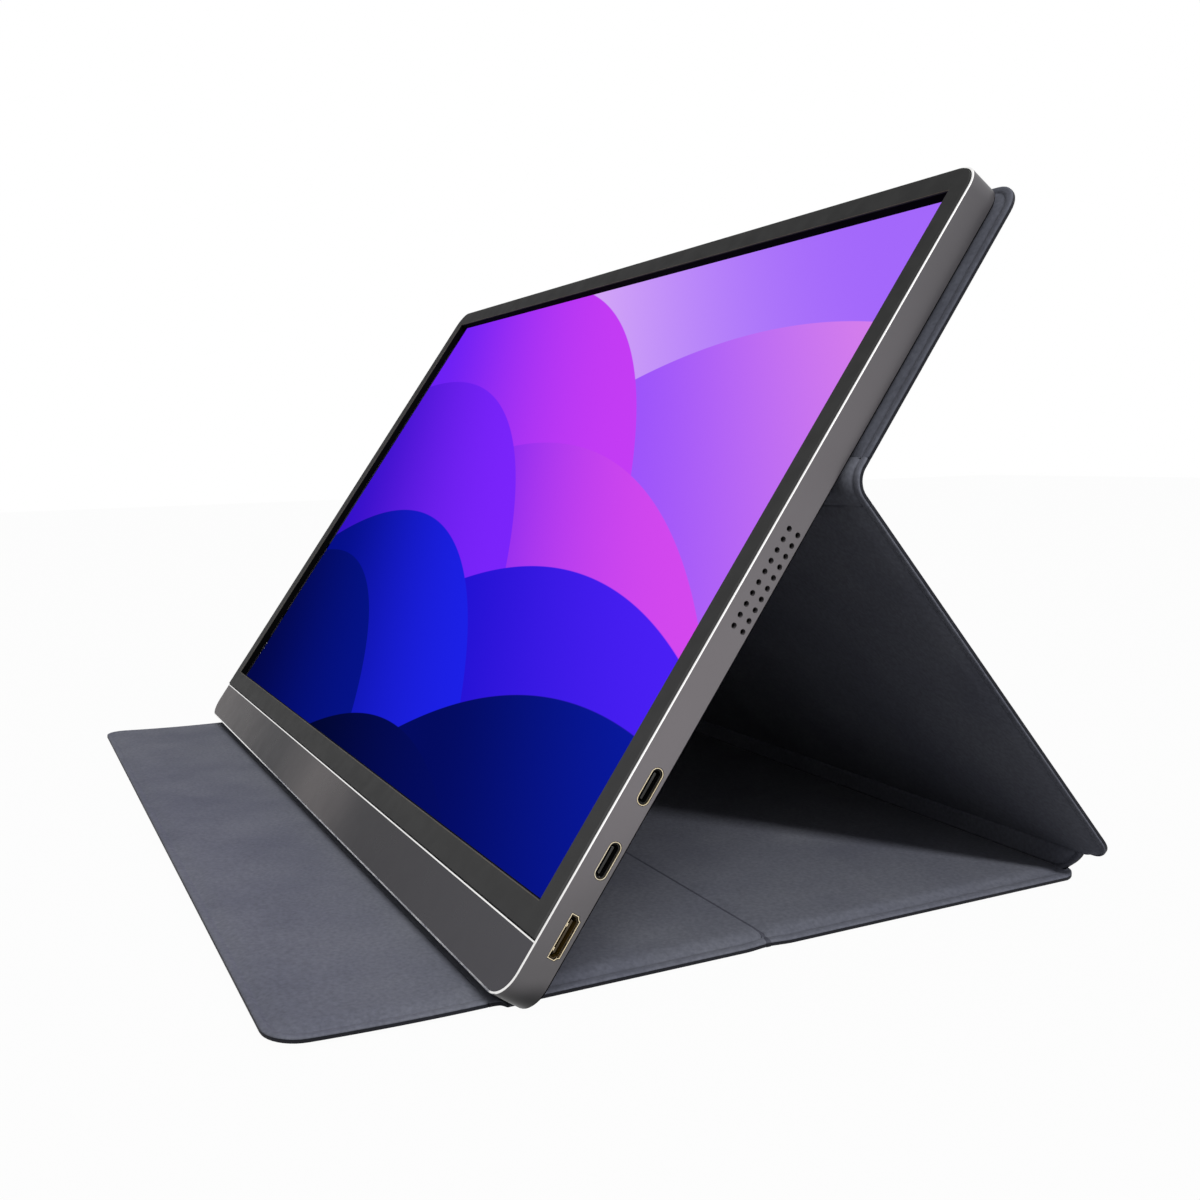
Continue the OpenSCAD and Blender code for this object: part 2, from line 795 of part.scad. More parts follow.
// Lining with a pressed border and a pocket for the board
module lining(w, y0, y1, r0, r1) {
    difference() {
        union() {
            plate(w, y0, y1, r0, r1, skin_top, border_level);
            plate(w - 2 * border_w, y0 + border_w, y1 - border_w, fold_r, fold_r,
                  skin_top, half_t);
        }
        plate(w - 2 * board_inset, y0 + board_inset, y1 - board_inset, fold_r, fold_r,
              skin_top - cut, board_level);
    }
}

module stiff_board(w, y0, y1) {
    back = board_inset + seam;
    plate(w - 2 * back, y0 + back, y1 - back, fold_r, fold_r, skin_top, board_level);
}

module upper_lining() {
    color("#4a4d58") at_upper() lining(cover_w, upper_v0, upper_v1, fold_r, cover_r);
}

module upper_board() {
    color("#8a7f70") at_upper() difference() {
        stiff_board(cover_w, upper_v0, upper_v1);
        for (p = magnet_spots) translate([p[0], p[1], board_level - magnet_t])
            cylinder(d = magnet_d + 2 * seam, h = magnet_t + cut);
    }
}

module upper_skin() {
    color("#15161c") at_upper() skin(cover_w, upper_v0, upper_v1, fold_r, cover_r);
}

module upper_magnets() {
    color("#9a9ca0") at_upper() for (p = magnet_spots)
        translate([p[0], p[1], board_level - magnet_t]) cylinder(d = magnet_d, h = magnet_t);
}

module leg_lining() {
    color("#4a4d58") at_leg() lining(cover_w, cut_back, leg_end, cover_r, fold_r);
}

module leg_board() {
    color("#8a7f70") at_leg() stiff_board(cover_w, cut_back, leg_end);
}

module leg_skin() {
    color("#15161c") at_leg() skin(cover_w, cut_back, leg_end, cover_r, fold_r);
}

// Strip of the spine between two levels
module spine_layer(w, low, high) {
    at_spine() plate(w, cut_back, spine_len - cut_back, spine_r, spine_r, low, high);
}

module spine_lining() {
    color("#4a4d58") spine_layer(base_w, board_level, half_t);
}

module spine_stiffener() {
    color("#8a7f70") spine_layer(base_w - 2 * board_inset, skin_top, board_level);
}

module spine_skin() {
    color("#15161c") spine_layer(base_w, -half_t, skin_top);
}

module base_rear_lining() {
    color("#4a4d58") at_base()
        lining(base_w, rear_start, rear_end, fold_r, fold_r);
}

module base_rear_board() {
    color("#8a7f70") at_base() stiff_board(base_w, rear_start, rear_end);
}

module base_rear_skin() {
    color("#15161c") at_base() skin(base_w, rear_start, rear_end, fold_r, fold_r);
}

module base_middle_lining() {
    color("#4a4d58") at_base()
        lining(base_w, middle_start, middle_end, fold_r, fold_r);
}

module base_middle_board() {
    color("#8a7f70") at_base() stiff_board(base_w, middle_start, middle_end);
}

module base_middle_skin() {
    color("#15161c") at_base()
        skin(base_w, groove_y + skin_gap / 2, middle_end, fold_r, fold_r);
}

module front_flap_lining() {
    color("#4a4d58") at_base() lining(base_w, -flap_reach, flap_end, cover_r, fold_r);
}

module flap_magnet_spots() {
    for (x = [-flap_magnet_x, flap_magnet_x])
        translate([x, flap_magnet_y, board_level - flap_magnet_t]) children();
}

module front_flap_board() {
    color("#8a7f70") at_base() difference() {
        stiff_board(base_w, -flap_reach, flap_end);
        flap_magnet_spots() cylinder(d = flap_magnet_d + 2 * seam, h = flap_magnet_t + cut);
    }
}

module front_flap_skin() {
    color("#15161c") at_base()
        skin(base_w, -flap_reach, groove_y - skin_gap / 2, cover_r, fold_r);
}

module flap_magnets() {
    color("#9a9ca0") at_base() flap_magnet_spots()
        cylinder(d = flap_magnet_d, h = flap_magnet_t);
}

// ---------- cover: folds ----------

// Bare laminated web of lining and skin from the leg, round the fold, to the upper panel
module back_fold() {
    h = web_t / 2;
    low = fold_a - (leg_gap - soft_gap) * along(leg_dir);
    high = fold_a + (upper_gap - soft_gap) * along(tilt);
    low_n = h * across(leg_dir);
    high_n = h * across(tilt);
    mitre = (low_n + high_n) / (1 + cos(leg_dir - tilt));
    color("#23242b") at_table() along_x(-web_w / 2, web_w / 2)
        polygon([low - low_n, low + low_n, fold_a + mitre, high + high_n,
                 high - high_n, fold_a - mitre]);
}

// Round soft roll of a tight fold
module fold_roll() {
    translate([-base_w / 2, 0, 0]) rotate([0, 90, 0]) cylinder(r = half_t, h = base_w);
}

module foot_fold() {
    color("#23242b") at_leg() fold_roll();
}

module spine_fold() {
    color("#23242b") at_spine() fold_roll();
}

module crease_fold() {
    color("#23242b") at_base()
        box([-base_web_w / 2, middle_end + seam, -half_t + seam],
            [base_web_w / 2, rear_start - seam, skin_top]);
}

// Lining on the groove's floor, with the bend line between the two skins
module groove_fold() {
    color("#23242b") at_base() {
        box([-base_web_w / 2, flap_end + seam, skin_top],
            [base_web_w / 2, middle_start - seam, skin_top + groove_lining]);
        box([-base_web_w / 2, groove_y - skin_gap / 2 + seam, -half_t + seam],
            [base_web_w / 2, groove_y + skin_gap / 2 - seam, skin_top + groove_lining / 2]);
    }
}

rear_shell();
chin_panel();
front_bezel();
lcd_cell();
diffuser_films();
light_guide();
reflector_sheet();
led_strip();
panel_tray();
panel_flex();
timing_board();
driver_board();
port_board();
button_board();
display_cable();
hdmi_socket();
usb_c_socket_lower();
usb_c_socket_upper();
audio_socket();
speaker_right();
speaker_left();
speaker_gauze_right();
speaker_gauze_left();
power_switch();
power_button();
menu_switch();
menu_wheel();
menu_pin();
panel_screws();
board_screws();
shell_magnets();
upper_lining();
upper_board();
upper_skin();
upper_magnets();
back_fold();
leg_lining();
leg_board();
leg_skin();
foot_fold();
spine_lining();
spine_stiffener();
spine_skin();
spine_fold();
base_rear_lining();
base_rear_board();
base_rear_skin();
crease_fold();
base_middle_lining();
base_middle_board();
base_middle_skin();
groove_fold();
front_flap_lining();
front_flap_board();
front_flap_skin();
flap_magnets();
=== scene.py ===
# %% [markdown]
# This lesson dresses a portable monitor that stands in its folio cover.
# The imported model is the frame: it says where every part is and how it moves. All that is made
# here is fitted round it, in metres, and most of it rides on the frame's bodies.

# %% Load the frame
import json
import math

import bmesh
import bpy
from mathutils import Matrix, Vector

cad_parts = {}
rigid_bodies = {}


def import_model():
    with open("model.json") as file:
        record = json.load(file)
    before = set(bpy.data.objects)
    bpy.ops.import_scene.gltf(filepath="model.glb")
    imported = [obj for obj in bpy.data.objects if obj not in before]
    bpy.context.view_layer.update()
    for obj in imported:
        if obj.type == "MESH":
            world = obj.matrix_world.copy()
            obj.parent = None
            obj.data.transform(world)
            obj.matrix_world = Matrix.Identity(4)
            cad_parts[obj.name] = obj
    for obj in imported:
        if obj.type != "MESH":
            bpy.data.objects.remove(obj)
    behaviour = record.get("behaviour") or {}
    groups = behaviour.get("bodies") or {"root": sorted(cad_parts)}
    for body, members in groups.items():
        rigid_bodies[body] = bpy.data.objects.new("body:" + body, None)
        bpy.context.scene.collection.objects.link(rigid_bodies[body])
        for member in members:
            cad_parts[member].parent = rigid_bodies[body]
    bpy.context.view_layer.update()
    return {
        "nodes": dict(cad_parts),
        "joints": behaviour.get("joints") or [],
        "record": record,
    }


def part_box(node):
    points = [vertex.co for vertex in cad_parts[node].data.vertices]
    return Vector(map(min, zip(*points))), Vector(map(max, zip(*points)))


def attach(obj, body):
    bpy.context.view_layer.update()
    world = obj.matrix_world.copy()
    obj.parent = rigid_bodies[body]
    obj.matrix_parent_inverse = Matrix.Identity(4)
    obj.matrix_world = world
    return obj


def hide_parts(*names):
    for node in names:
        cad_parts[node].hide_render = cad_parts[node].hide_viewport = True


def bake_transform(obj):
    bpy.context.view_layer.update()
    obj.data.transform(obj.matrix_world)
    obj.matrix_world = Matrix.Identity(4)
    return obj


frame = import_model()
MM = 0.001
joints = {joint["name"]: joint for joint in frame["joints"]}

# %% [markdown]
# The frame's joints give the fold lines of the cover, and the menu wheel's axis gives the screen's
# normal. From these come three places to model in: the monitor's, the leg's and the spine's. Each
# piece is modelled flat, in millimetre sizes, and then turned into its place once.

# %% Places taken from the frame
def pivot(name):
    return Vector(joints[name]["pos_m"])


fold_back = pivot("back_hinge")
fold_foot = pivot("foot_hinge")
fold_rear = pivot("spine_hinge")
normal = Vector(joints["menu_turn"]["axis"]).normalized()
tilt = math.atan2(-normal.y, normal.z)
leg_turn = math.atan2(fold_back.z - fold_foot.z, fold_back.y - fold_foot.y)
spine_turn = math.atan2(fold_foot.z - fold_rear.z, fold_foot.y - fold_rear.y)

panel_t = 3.3
hinge_up = 138.5
monitor_t = 8.7
pivot_behind = monitor_t + 0.3 + panel_t / 2
up_screen = Vector((0, math.cos(tilt), math.sin(tilt)))
monitor_foot = fold_back - up_screen * hinge_up * MM + normal * pivot_behind * MM


def place(origin, turn):
    """Matrix from a flat drawing in millimetres to a place in the frame."""
    return Matrix.Translation(origin) @ Matrix.Rotation(turn, 4, "X") @ Matrix.Scale(MM, 4)


monitor_place = place(monitor_foot, tilt)
upper_place = place(fold_back - up_screen * hinge_up * MM, tilt)
leg_place = place(fold_foot, leg_turn)
base_place = place(Vector((0, 0, fold_rear.z)), 0)
print("screen tilt %.1f deg, leg %.1f deg" % (math.degrees(tilt), math.degrees(leg_turn)))

# %% [markdown]
# The camera comes first, so that every later choice can be judged through it. It is a 38.7 mm lens
# low at the right-hand front, close enough to give a strong perspective.

# %% Camera
camera_data = bpy.data.cameras.new("camera")
camera = bpy.data.objects.new("camera", camera_data)
bpy.context.scene.collection.objects.link(camera)
camera_data.sensor_width = 36
camera_data.lens = 38.697
camera_data.clip_start = 0.01
front_edge_y = monitor_foot.y
camera.location = (0.425325, front_edge_y - 0.093595, 0.122537)
camera.rotation_euler = [math.radians(angle) for angle in (83.2672, 1.2837, 63.9332)]
bpy.context.scene.camera = camera
bpy.context.scene.view_settings.view_transform = "Standard"
print("camera %.0f mm above the table" % (camera.location.z / MM))

# %% [markdown]
# Small helpers keep the modelling cells short. Each one does what a modeller does by hand: it
# deselects everything, adds a primitive, or picks faces and edges by where they lie.

# %% Modelling helpers
def leave_edit():
    bpy.ops.object.mode_set(mode="OBJECT")


def deselect():
    if bpy.context.object and bpy.context.object.mode != "OBJECT":
        leave_edit()
    bpy.ops.object.select_all(action="DESELECT")


def make_active(piece):
    deselect()
    piece.select_set(True)
    bpy.context.view_layer.objects.active = piece


def settled(name):
    """Name the new primitive, with its place and size put into the mesh."""
    bpy.ops.object.transform_apply(location=True, rotation=True, scale=True)
    piece = bpy.context.object
    piece.name = name
    return piece


def add_box(name, low, high):
    """A box between two corners, ready for edit mode."""
    deselect()
    low, high = Vector(low), Vector(high)
    bpy.ops.mesh.primitive_cube_add(size=1, location=(low + high) / 2, scale=high - low)
    return settled(name)


def add_sheet(name, low, high):
    """A flat rectangle at height 0 between two corners."""
    deselect()
    low, high = Vector((*low, 0)), Vector((*high, 0))
    bpy.ops.mesh.primitive_plane_add(size=1, location=(low + high) / 2)
    bpy.ops.transform.resize(value=(high.x - low.x, high.y - low.y, 1))
    return settled(name)


def pick(piece, kind, test):
    """In edit mode, select the VERT, EDGE or FACE elements whose centre and direction pass."""
    if piece.mode != "EDIT":
        bpy.ops.object.mode_set(mode="EDIT")
    bpy.ops.mesh.select_mode(type=kind)
    bpy.ops.mesh.select_all(action="DESELECT")
    mesh = bmesh.from_edit_mesh(piece.data)
    if kind == "FACE":
        for face in mesh.faces:
            face.select_set(test(face.calc_center_median(), face.normal))
    elif kind == "EDGE":
        for edge in mesh.edges:
            a, b = (v.co for v in edge.verts)
            edge.select_set(test((a + b) / 2, b - a))
    else:
        for vert in mesh.verts:
            vert.select_set(test(vert.co, vert.normal))
    mesh.select_flush_mode()
    bmesh.update_edit_mesh(piece.data)


def everything(at, way):
    return True


def bevel_edges(width, segments, **more):
    """Round or chamfer the selected edges."""
    bpy.ops.mesh.bevel(offset=width, segments=segments, affect="EDGES", **more)


def extrude(x, y, z):
    """Pull the selected faces out by a step."""
    bpy.ops.mesh.extrude_region_move(TRANSFORM_OT_translate={"value": (x, y, z)})


def face_outwards():
    bpy.ops.mesh.select_all(action="SELECT")
    bpy.ops.mesh.normals_make_consistent(inside=False)


def box_up(piece, depth):
    """Give a flat sheet a depth downwards."""
    pick(piece, "FACE", everything)
    extrude(0, 0, -depth)
    face_outwards()


def picked_corners(mesh):
    """The corner points of the selected faces."""
    return {vert for face in mesh.faces if face.select for vert in face.verts}


def round_corners(piece, radius, segments=10, test=everything):
    """Round the flat sheet's corners that pass the test."""
    pick(piece, "VERT", test)
    bpy.ops.mesh.bevel(offset=radius, segments=segments, affect="VERTICES")


def steps_inward(steps):
    """Inset the selected face again and again; each step is (inset, rise)."""
    for inset, rise in steps:
        bpy.ops.mesh.inset(thickness=inset, depth=rise)


def modify(piece, kind, **settings):
    """Add a modifier and apply it."""
    make_active(piece)
    modifier = piece.modifiers.new(kind.lower(), kind)
    for name, value in settings.items():
        setattr(modifier, name, value)
    bpy.ops.object.modifier_apply(modifier=modifier.name)


def finish_piece(piece, where, body, material, smooth=35):
    """Smooth the piece, put it in its place, and let it ride on its body."""
    make_active(piece)
    bpy.ops.object.shade_smooth_by_angle(angle=math.radians(smooth))
    piece.data.transform(where)
    for entry in material if isinstance(material, list) else [material]:
        piece.data.materials.append(entry)
    if body:
        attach(piece, body)
    print("%s: %d faces" % (piece.name, len(piece.data.polygons)))
    return piece


def paint(piece, where, test, index=1):
    """Give one of the piece's materials to the faces that pass, tested in the flat drawing."""
    back = where.inverted()
    turn = back.to_3x3().normalized()
    count = 0
    for face in piece.data.polygons:
        if test(back @ face.center, turn @ face.normal):
            face.material_index = index
            count += 1
    print("%s: %d faces painted" % (piece.name, count))


def joined(name, pieces):
    deselect()
    for piece in pieces:
        piece.select_set(True)
    bpy.context.view_layer.objects.active = pieces[0]
    if len(pieces) > 1:
        bpy.ops.object.join()
    pieces[0].name = name
    return pieces[0]


# %% [markdown]
# Materials are node trees. One function adds a node with its settings and links, and one turns a
# hex colour as a painter writes it into the linear values that the shader needs.

# %% Material helpers
def linear(hex_colour):
    values = [int(hex_colour[i:i + 2], 16) / 255 for i in (1, 3, 5)]
    return [v / 12.92 if v <= 0.04045 else ((v + 0.055) / 1.055) ** 2.4 for v in values] + [1]


def wire(tree, node, links=None, values=None):
    """Set a node's sockets: links are its incoming wires, values its constants."""
    for name, value in (values or {}).items():
        node.inputs[name].default_value = value
    for name, socket in (links or {}).items():
        tree.links.new(socket, node.inputs[name])


def add(tree, kind, links=None, values=None, **settings):
    """Add a node; settings are its properties."""
    node = tree.nodes.new("ShaderNode" + kind)
    for name, value in settings.items():
        setattr(node, name, value)
    wire(tree, node, links, values)
    return node


def new_material(name):
    material = bpy.data.materials.new(name)
    material.use_nodes = True
    tree = material.node_tree
    shader = tree.nodes["Principled BSDF"]
    coords = tree.nodes.new("ShaderNodeTexCoord").outputs["Object"]
    return material, tree, shader, coords


def mottled(tree, coords, size_mm, low, high, detail=3, low_at=0.35, high_at=0.65):
    """A colour that drifts between two hex colours over patches of a real size."""
    noise = add(tree, "TexNoise", {"Vector": coords},
                {"Scale": 1 / (size_mm * MM), "Detail": detail, "Roughness": 0.55})
    ramp = add(tree, "ValToRGB", {"Fac": noise.outputs["Fac"]})
    ramp.color_ramp.elements[0].color = linear(low)
    ramp.color_ramp.elements[1].color = linear(high)
    ramp.color_ramp.elements[0].position = low_at
    ramp.color_ramp.elements[1].position = high_at
    return ramp.outputs["Color"]


def fine_grain(tree, coords, size_mm, depth_mm, strength, kind="TexNoise", normal_from=None):
    """A bump of grains of a real size and depth."""
    values = {"Scale": 1 / (size_mm * MM)}
    if kind == "TexNoise":
        values["Detail"] = 2
    grain = add(tree, kind, {"Vector": coords}, values)
    out = grain.outputs["Fac" if kind == "TexNoise" else "Distance"]
    links = {"Height": out}
    if normal_from:
        links["Normal"] = normal_from
    bump = add(tree, "Bump", links, {"Strength": strength, "Distance": depth_mm * MM})
    return bump.outputs["Normal"]


def wander(tree, coords, size_mm, low, high, spread=0.15, detail=2):
    """A number that drifts between two values over patches of a real size."""
    noise = add(tree, "TexNoise", {"Vector": coords},
                {"Scale": 1 / (size_mm * MM), "Detail": detail})
    drift = add(tree, "MapRange", {"Value": noise.outputs["Fac"]},
                {"From Min": 0.5 - spread, "From Max": 0.5 + spread, "To Min": low,
                 "To Max": high})
    return drift.outputs["Result"]


# %% [markdown]
# The housing is aluminium, bead-blasted and anodised gunmetal: a satin metal whose grain is too
# fine to see, so the bump is drawn coarser than the real 0.05 mm grit and kept weak. Its front edge
# is cut with a diamond tool after anodising, which leaves a bright mirror-like line.

# %% Metals of the housing
def painted_light_along(tree, coords, axis, stops, wobble_mm):
    """Painted light and shade along an axis of the frame, through (millimetre, hex colour) stops."""
    place_on = add(tree, "SeparateXYZ", {"Vector": coords}).outputs[axis]
    shift = wander(tree, coords, 35, -wobble_mm * MM, wobble_mm * MM, 0.2)
    moved = add(tree, "Math", {0: place_on, 1: shift}, operation="ADD")
    first, last = stops[0][0], stops[-1][0]
    part_way = add(tree, "MapRange", {"Value": moved.outputs[0]},
                   {"From Min": first * MM, "From Max": last * MM})
    ramp = add(tree, "ValToRGB", {"Fac": part_way.outputs["Result"]})
    ramp.color_ramp.interpolation = "EASE"
    for index, (at, colour) in enumerate(stops):
        spot = (at - first) / (last - first)
        if 0 < index < len(stops) - 1:
            ramp.color_ramp.elements.new(spot)
        ramp.color_ramp.elements[index].position = spot
        ramp.color_ramp.elements[index].color = linear(colour)
    return ramp.outputs["Color"]


def anodised_aluminium(name, axis, stops, roughness, metal, wobble_mm=6):
    material, tree, shader, coords = new_material(name)
    wire(tree, shader, {
        "Base Color": painted_light_along(tree, coords, axis, stops, wobble_mm),
        "Roughness": wander(tree, coords, 9, roughness - 0.03, roughness + 0.04),
        "Normal": fine_grain(tree, coords, 0.3, 0.01, 0.12),
    }, {"Metallic": metal, "Specular Tint": linear("#bcbcbc")})
    return material


def polished_metal(name, low, high, roughness):
    material, tree, shader, coords = new_material(name)
    wire(tree, shader, {
        "Base Color": mottled(tree, coords, 25, low, high),
        "Roughness": wander(tree, coords, 5, roughness - 0.03, roughness + 0.05),
    }, {"Metallic": 1})
    return material


# The slow tones are painted reflections of the room that satin metal mirrors, a few given at
# millimetres up from the table for the shell, and along the chin, where a light and a dark painted
# band take turns. The shell's lowest stop is painted shade, darker towards the table.
shell_painted_light_tones = [(0, "#1e1e1f"), (10, "#5c5a5c"), (50, "#726e71"), (190, "#565457")]
painted_reflection_light, painted_reflection_dark = "#686465", "#454447"
chin_painted_reflection_tones = [(-180, painted_reflection_light), (-60, painted_reflection_dark), (0, painted_reflection_light), (60, painted_reflection_dark),
              (180, "#4e4d51")]
shell_metal = anodised_aluminium("anodised_aluminium_gunmetal", "Z", shell_painted_light_tones, 0.34, 0.5)
chin_metal = anodised_aluminium("anodised_aluminium_chin", "X", chin_painted_reflection_tones, 0.3, 0.88)
cut_edge = polished_metal("diamond_cut_aluminium_edge", "#e6e5e4", "#f4f3f2", 0.12)
plated_brass = polished_metal("pale_gold_plated_brass", "#fbe9c2", "#fff5dc", 0.3)
steel = polished_metal("zinc_plated_steel", "#b6b8ba", "#c9cbcc", 0.3)
magnet_metal = polished_metal("nickel_plated_magnet", "#a2a4a8", "#b4b6ba", 0.22)
print("materials with the metals:", len(bpy.data.materials))

# %% [markdown]
# Black parts are moulded or woven. The bezel is a charcoal moulding with a fine spark texture, the
# sockets' inserts are glossier, and the speaker gauze is a weave that shows as a small bump.

# %% Plastics
def moulded(name, low, high, roughness, grain_mm=0.35, bump=0.15, gloss=0.5):
    material, tree, shader, coords = new_material(name)
    wire(tree, shader, {
        "Base Color": mottled(tree, coords, 30, low, high),
        "Roughness": wander(tree, coords, 6, roughness - 0.04, roughness + 0.04),
        "Normal": fine_grain(tree, coords, grain_mm, 0.02, bump),
    }, {"Specular IOR Level": gloss})
    return material


bezel_black = moulded("abs_charcoal_spark_texture", "#3f3f3e", "#454544", 0.7, gloss=0.08)
# Painted shade: the bezel's colour is painted darker towards its top
bezel_painted_shade_tones = [(5, "#414141"), (40, "#3f3f3f"), (90, "#363636"), (190, "#2c2c2c")]
tree = bezel_black.node_tree
bezel_coords = tree.nodes["Texture Coordinate"].outputs["Object"]
wire(tree, tree.nodes["Principled BSDF"],
     {"Base Color": painted_light_along(tree, bezel_coords, "Z", bezel_painted_shade_tones, 6)})
# The lip round the screen opening is painted a lighter warm colour: a painted highlight
bezel_painted_highlight = moulded("abs_lip_painted_highlight", "#575148", "#625b50", 0.6, gloss=0.08)
# Painted shade: the bezel's recess walls and the shell's back edge are painted near-black
painted_shade_black = moulded("abs_black_painted_shade", "#040404", "#080808", 0.9, gloss=0.02)
insert_black = moulded("liquid_crystal_polymer_black", "#060606", "#0c0c0c", 0.25, 0.2, 0.05)
insert_brown = moulded("liquid_crystal_polymer_brown", "#2a1f08", "#382b0f", 0.3, 0.2, 0.05)
part_black = moulded("abs_black_moulded", "#161618", "#1e1e20", 0.5)
gauze_black = moulded("woven_polyester_gauze", "#040404", "#0a0a0a", 0.8, 0.4, 0.6, gloss=0.05)
board_green = moulded("solder_masked_laminate", "#17532c", "#1f6b3a", 0.3, 0.8, 0.1)
flex_amber = moulded("polyimide_flex", "#a86f1e", "#c08229", 0.35, 0.5, 0.05)
film_white = moulded("pet_diffuser_film", "#e8e8e4", "#f2f2ee", 0.4, 0.3, 0.05)
guide_clear = moulded("pmma_light_guide", "#dfe9ec", "#eaf2f4", 0.1, 1.0, 0.02)
led_yellow = moulded("phosphor_coated_diodes", "#f1e7a8", "#fbf3c8", 0.45, 0.6, 0.1)
stiff_board = moulded("glass_filled_stiffener_board", "#7c7265", "#8a7f70", 0.8, 0.5, 0.4)
print("materials with the plastics:", len(bpy.data.materials))

# %% [markdown]
# The cover is soft-touch synthetic leather. The lining is slate grey with a velvety sheen: its
# grain is a fine pebble of about 0.5 mm, drawn a little coarser so that it shows, over slow patches
# where the pile has been brushed. The outer skin is the same hide in near-black, less matt.

# %% Synthetic leather
def soft_leather(name, low, high, roughness, sheen, gloss):
    material, tree, shader, coords = new_material(name)
    patches = mottled(tree, coords, 45, low, high, 5)
    speck = wander(tree, coords, 1.1, 0.86, 1.14, 0.2, 3)
    shade = add(tree, "VectorMath", {0: patches, 1: speck}, operation="MULTIPLY")
    soft = fine_grain(tree, coords, 18, 0.5, 0.25)
    wire(tree, shader, {
        "Base Color": shade.outputs["Vector"],
        "Roughness": wander(tree, coords, 14, roughness - 0.06, roughness + 0.06),
        "Normal": fine_grain(tree, coords, 0.8, 0.05, 0.5, "TexVoronoi", soft),
    }, {"Sheen Weight": sheen, "Sheen Roughness": 0.5, "Specular IOR Level": gloss})
    return material


lining_leather = soft_leather("synthetic_leather_slate", "#595b66", "#64666f", 0.72, 0.04, 0.06)
# The crease's web is painted darker: painted shade in the crease
crease_painted_shade_leather = soft_leather("synthetic_leather_crease_painted_shade", "#42434c", "#4b4c55", 0.7, 0, 0.05)
# The upper panel's lining is painted a shade darker: painted shade, for the shade behind the screen
upper_painted_shade_leather = soft_leather("synthetic_leather_slate_painted_shade", "#474952", "#52545d", 0.72, 0.04,
                              0.06)
skin_leather = soft_leather("synthetic_leather_black", "#131419", "#1c1d23", 0.6, 0.0, 0.12)
print("materials with the leathers:", len(bpy.data.materials))

# %% [markdown]
# Every CAD part that stays gets one of these finishes, chosen by the record's material slot.

# %% Finishes of the CAD parts
finish_of_slot = {
    "shell": shell_metal, "chin": chin_metal, "bezel": bezel_black, "screen_glass": part_black,
    "optical_film": film_white, "light_guide": guide_clear, "led_strip": led_yellow,
    "steel_sheet": steel, "flex": flex_amber, "circuit_board": board_green,
    "socket_metal": plated_brass, "black_plastic": part_black, "gauze": gauze_black,
    "control_metal": shell_metal, "screw_steel": steel, "magnet": magnet_metal,
    "lining": lining_leather, "skin": skin_leather, "fold": skin_leather, "board": stiff_board,
}
slot_of_node = {part["node"]: part["material_slot"] for part in frame["record"]["subparts"]}
for node_name, node_object in frame["nodes"].items():
    for index in range(max(1, len(node_object.material_slots))):
        if not node_object.material_slots:
            node_object.data.materials.append(None)
        node_object.material_slots[index].material = finish_of_slot[slot_of_node[node_name]]
print("CAD nodes finished:", len(frame["nodes"]))

# %% [markdown]
# The rear shell is a tray milled from one slab. It starts as a box: the four upright edges are
# rounded, the front rim gets its polished cut and the back rim a small one, and the inside is inset
# and pushed down, first to a ledge for the front parts and then to the floor. The cut is shallow,
# so it mirrors the bright room on every side. One boolean then opens sockets and speaker holes.

# %% Rear shell: body
shell_w, shell_h = 359.4, 224.8
corner_r = 7.5
edge_break = 0.1
cut_width, cut_rise = 0.42, 0.09
back_chamfer = 0.45
side_wall = 1.3
back_wall = 0.9
half_w = shell_w / 2

rim = edge_break + cut_width
rebate = 1.35
shell = add_box("rear_shell_metal", (-half_w, 0, -monitor_t), (half_w, shell_h, -cut_rise))
pick(shell, "EDGE", lambda at, way: abs(way.z) > 1)
bevel_edges(corner_r, 14)
pick(shell, "EDGE", lambda at, way: at.z > -cut_rise - 0.01)
bevel_edges(edge_break, 1)
pick(shell, "EDGE", lambda at, way: at.z < -monitor_t + 0.01)
bevel_edges(back_chamfer, 3)
pick(shell, "FACE", lambda at, n: n.z > 0.9 and at.z > -cut_rise - 0.01)
steps_inward([(cut_width, cut_rise), (0.02, -rebate), (side_wall - rim, 0)])
extrude(0, 0, -(monitor_t - back_wall - rebate))
leave_edit()
print("shell body:", len(shell.data.polygons), "faces")

# %% [markdown]
# The cutters are the shapes of the openings: slots with round ends for USB-C, a box with two stepped
# corners for mini HDMI, and small drills with a countersink for the speaker holes, so that each
# hole has the thin bright rim that a deburred hole shows.

# %% Rear shell: openings
board_level = -(monitor_t - back_wall) + 0.5
usb_size = (9.2, 3.2)
usb_depth = board_level + usb_size[1] / 2
hdmi_size = (10.8, 2.9)
hdmi_depth = board_level + hdmi_size[1] / 2
hdmi_cut = 0.9
usb_heights = {"usb_c_socket_lower": 37.3, "usb_c_socket_upper": 55.9}
hdmi_height = 18.5
speaker_height, grille_rows, grille_pitch = 109.5, 10, 2.88
grille_columns = (-3.8, -6.65)
grille_d = 1.4
power_height, power_size = 56, (9, 2.4)
menu_height, menu_size = 37, (5.4, 2)
control_depth = -4.6
audio_height, audio_d = 13, 3.5
audio_depth = -(monitor_t - back_wall) + 2.5


def slot_bar(name, x0, x1, height, depth, size, cut=None):
    """A bar along x whose section is a slot; with a cut, only its two back corners step in."""
    a, b = size[0] / 2, size[1] / 2
    bar = add_box(name, (x0, height - a, depth - b), (x1, height + a, depth + b))
    if cut:
        pick(bar, "EDGE", lambda at, way: abs(way.x) > 0.01 and at.z < depth)
        bevel_edges(cut, 4, profile=0.12)
    else:
        pick(bar, "EDGE", lambda at, way: abs(way.x) > 0.01)
        bevel_edges(b - 0.02, 9)
        bpy.ops.mesh.select_all(action="SELECT")
        bpy.ops.mesh.remove_doubles(threshold=0.06)
    leave_edit()
    return bar


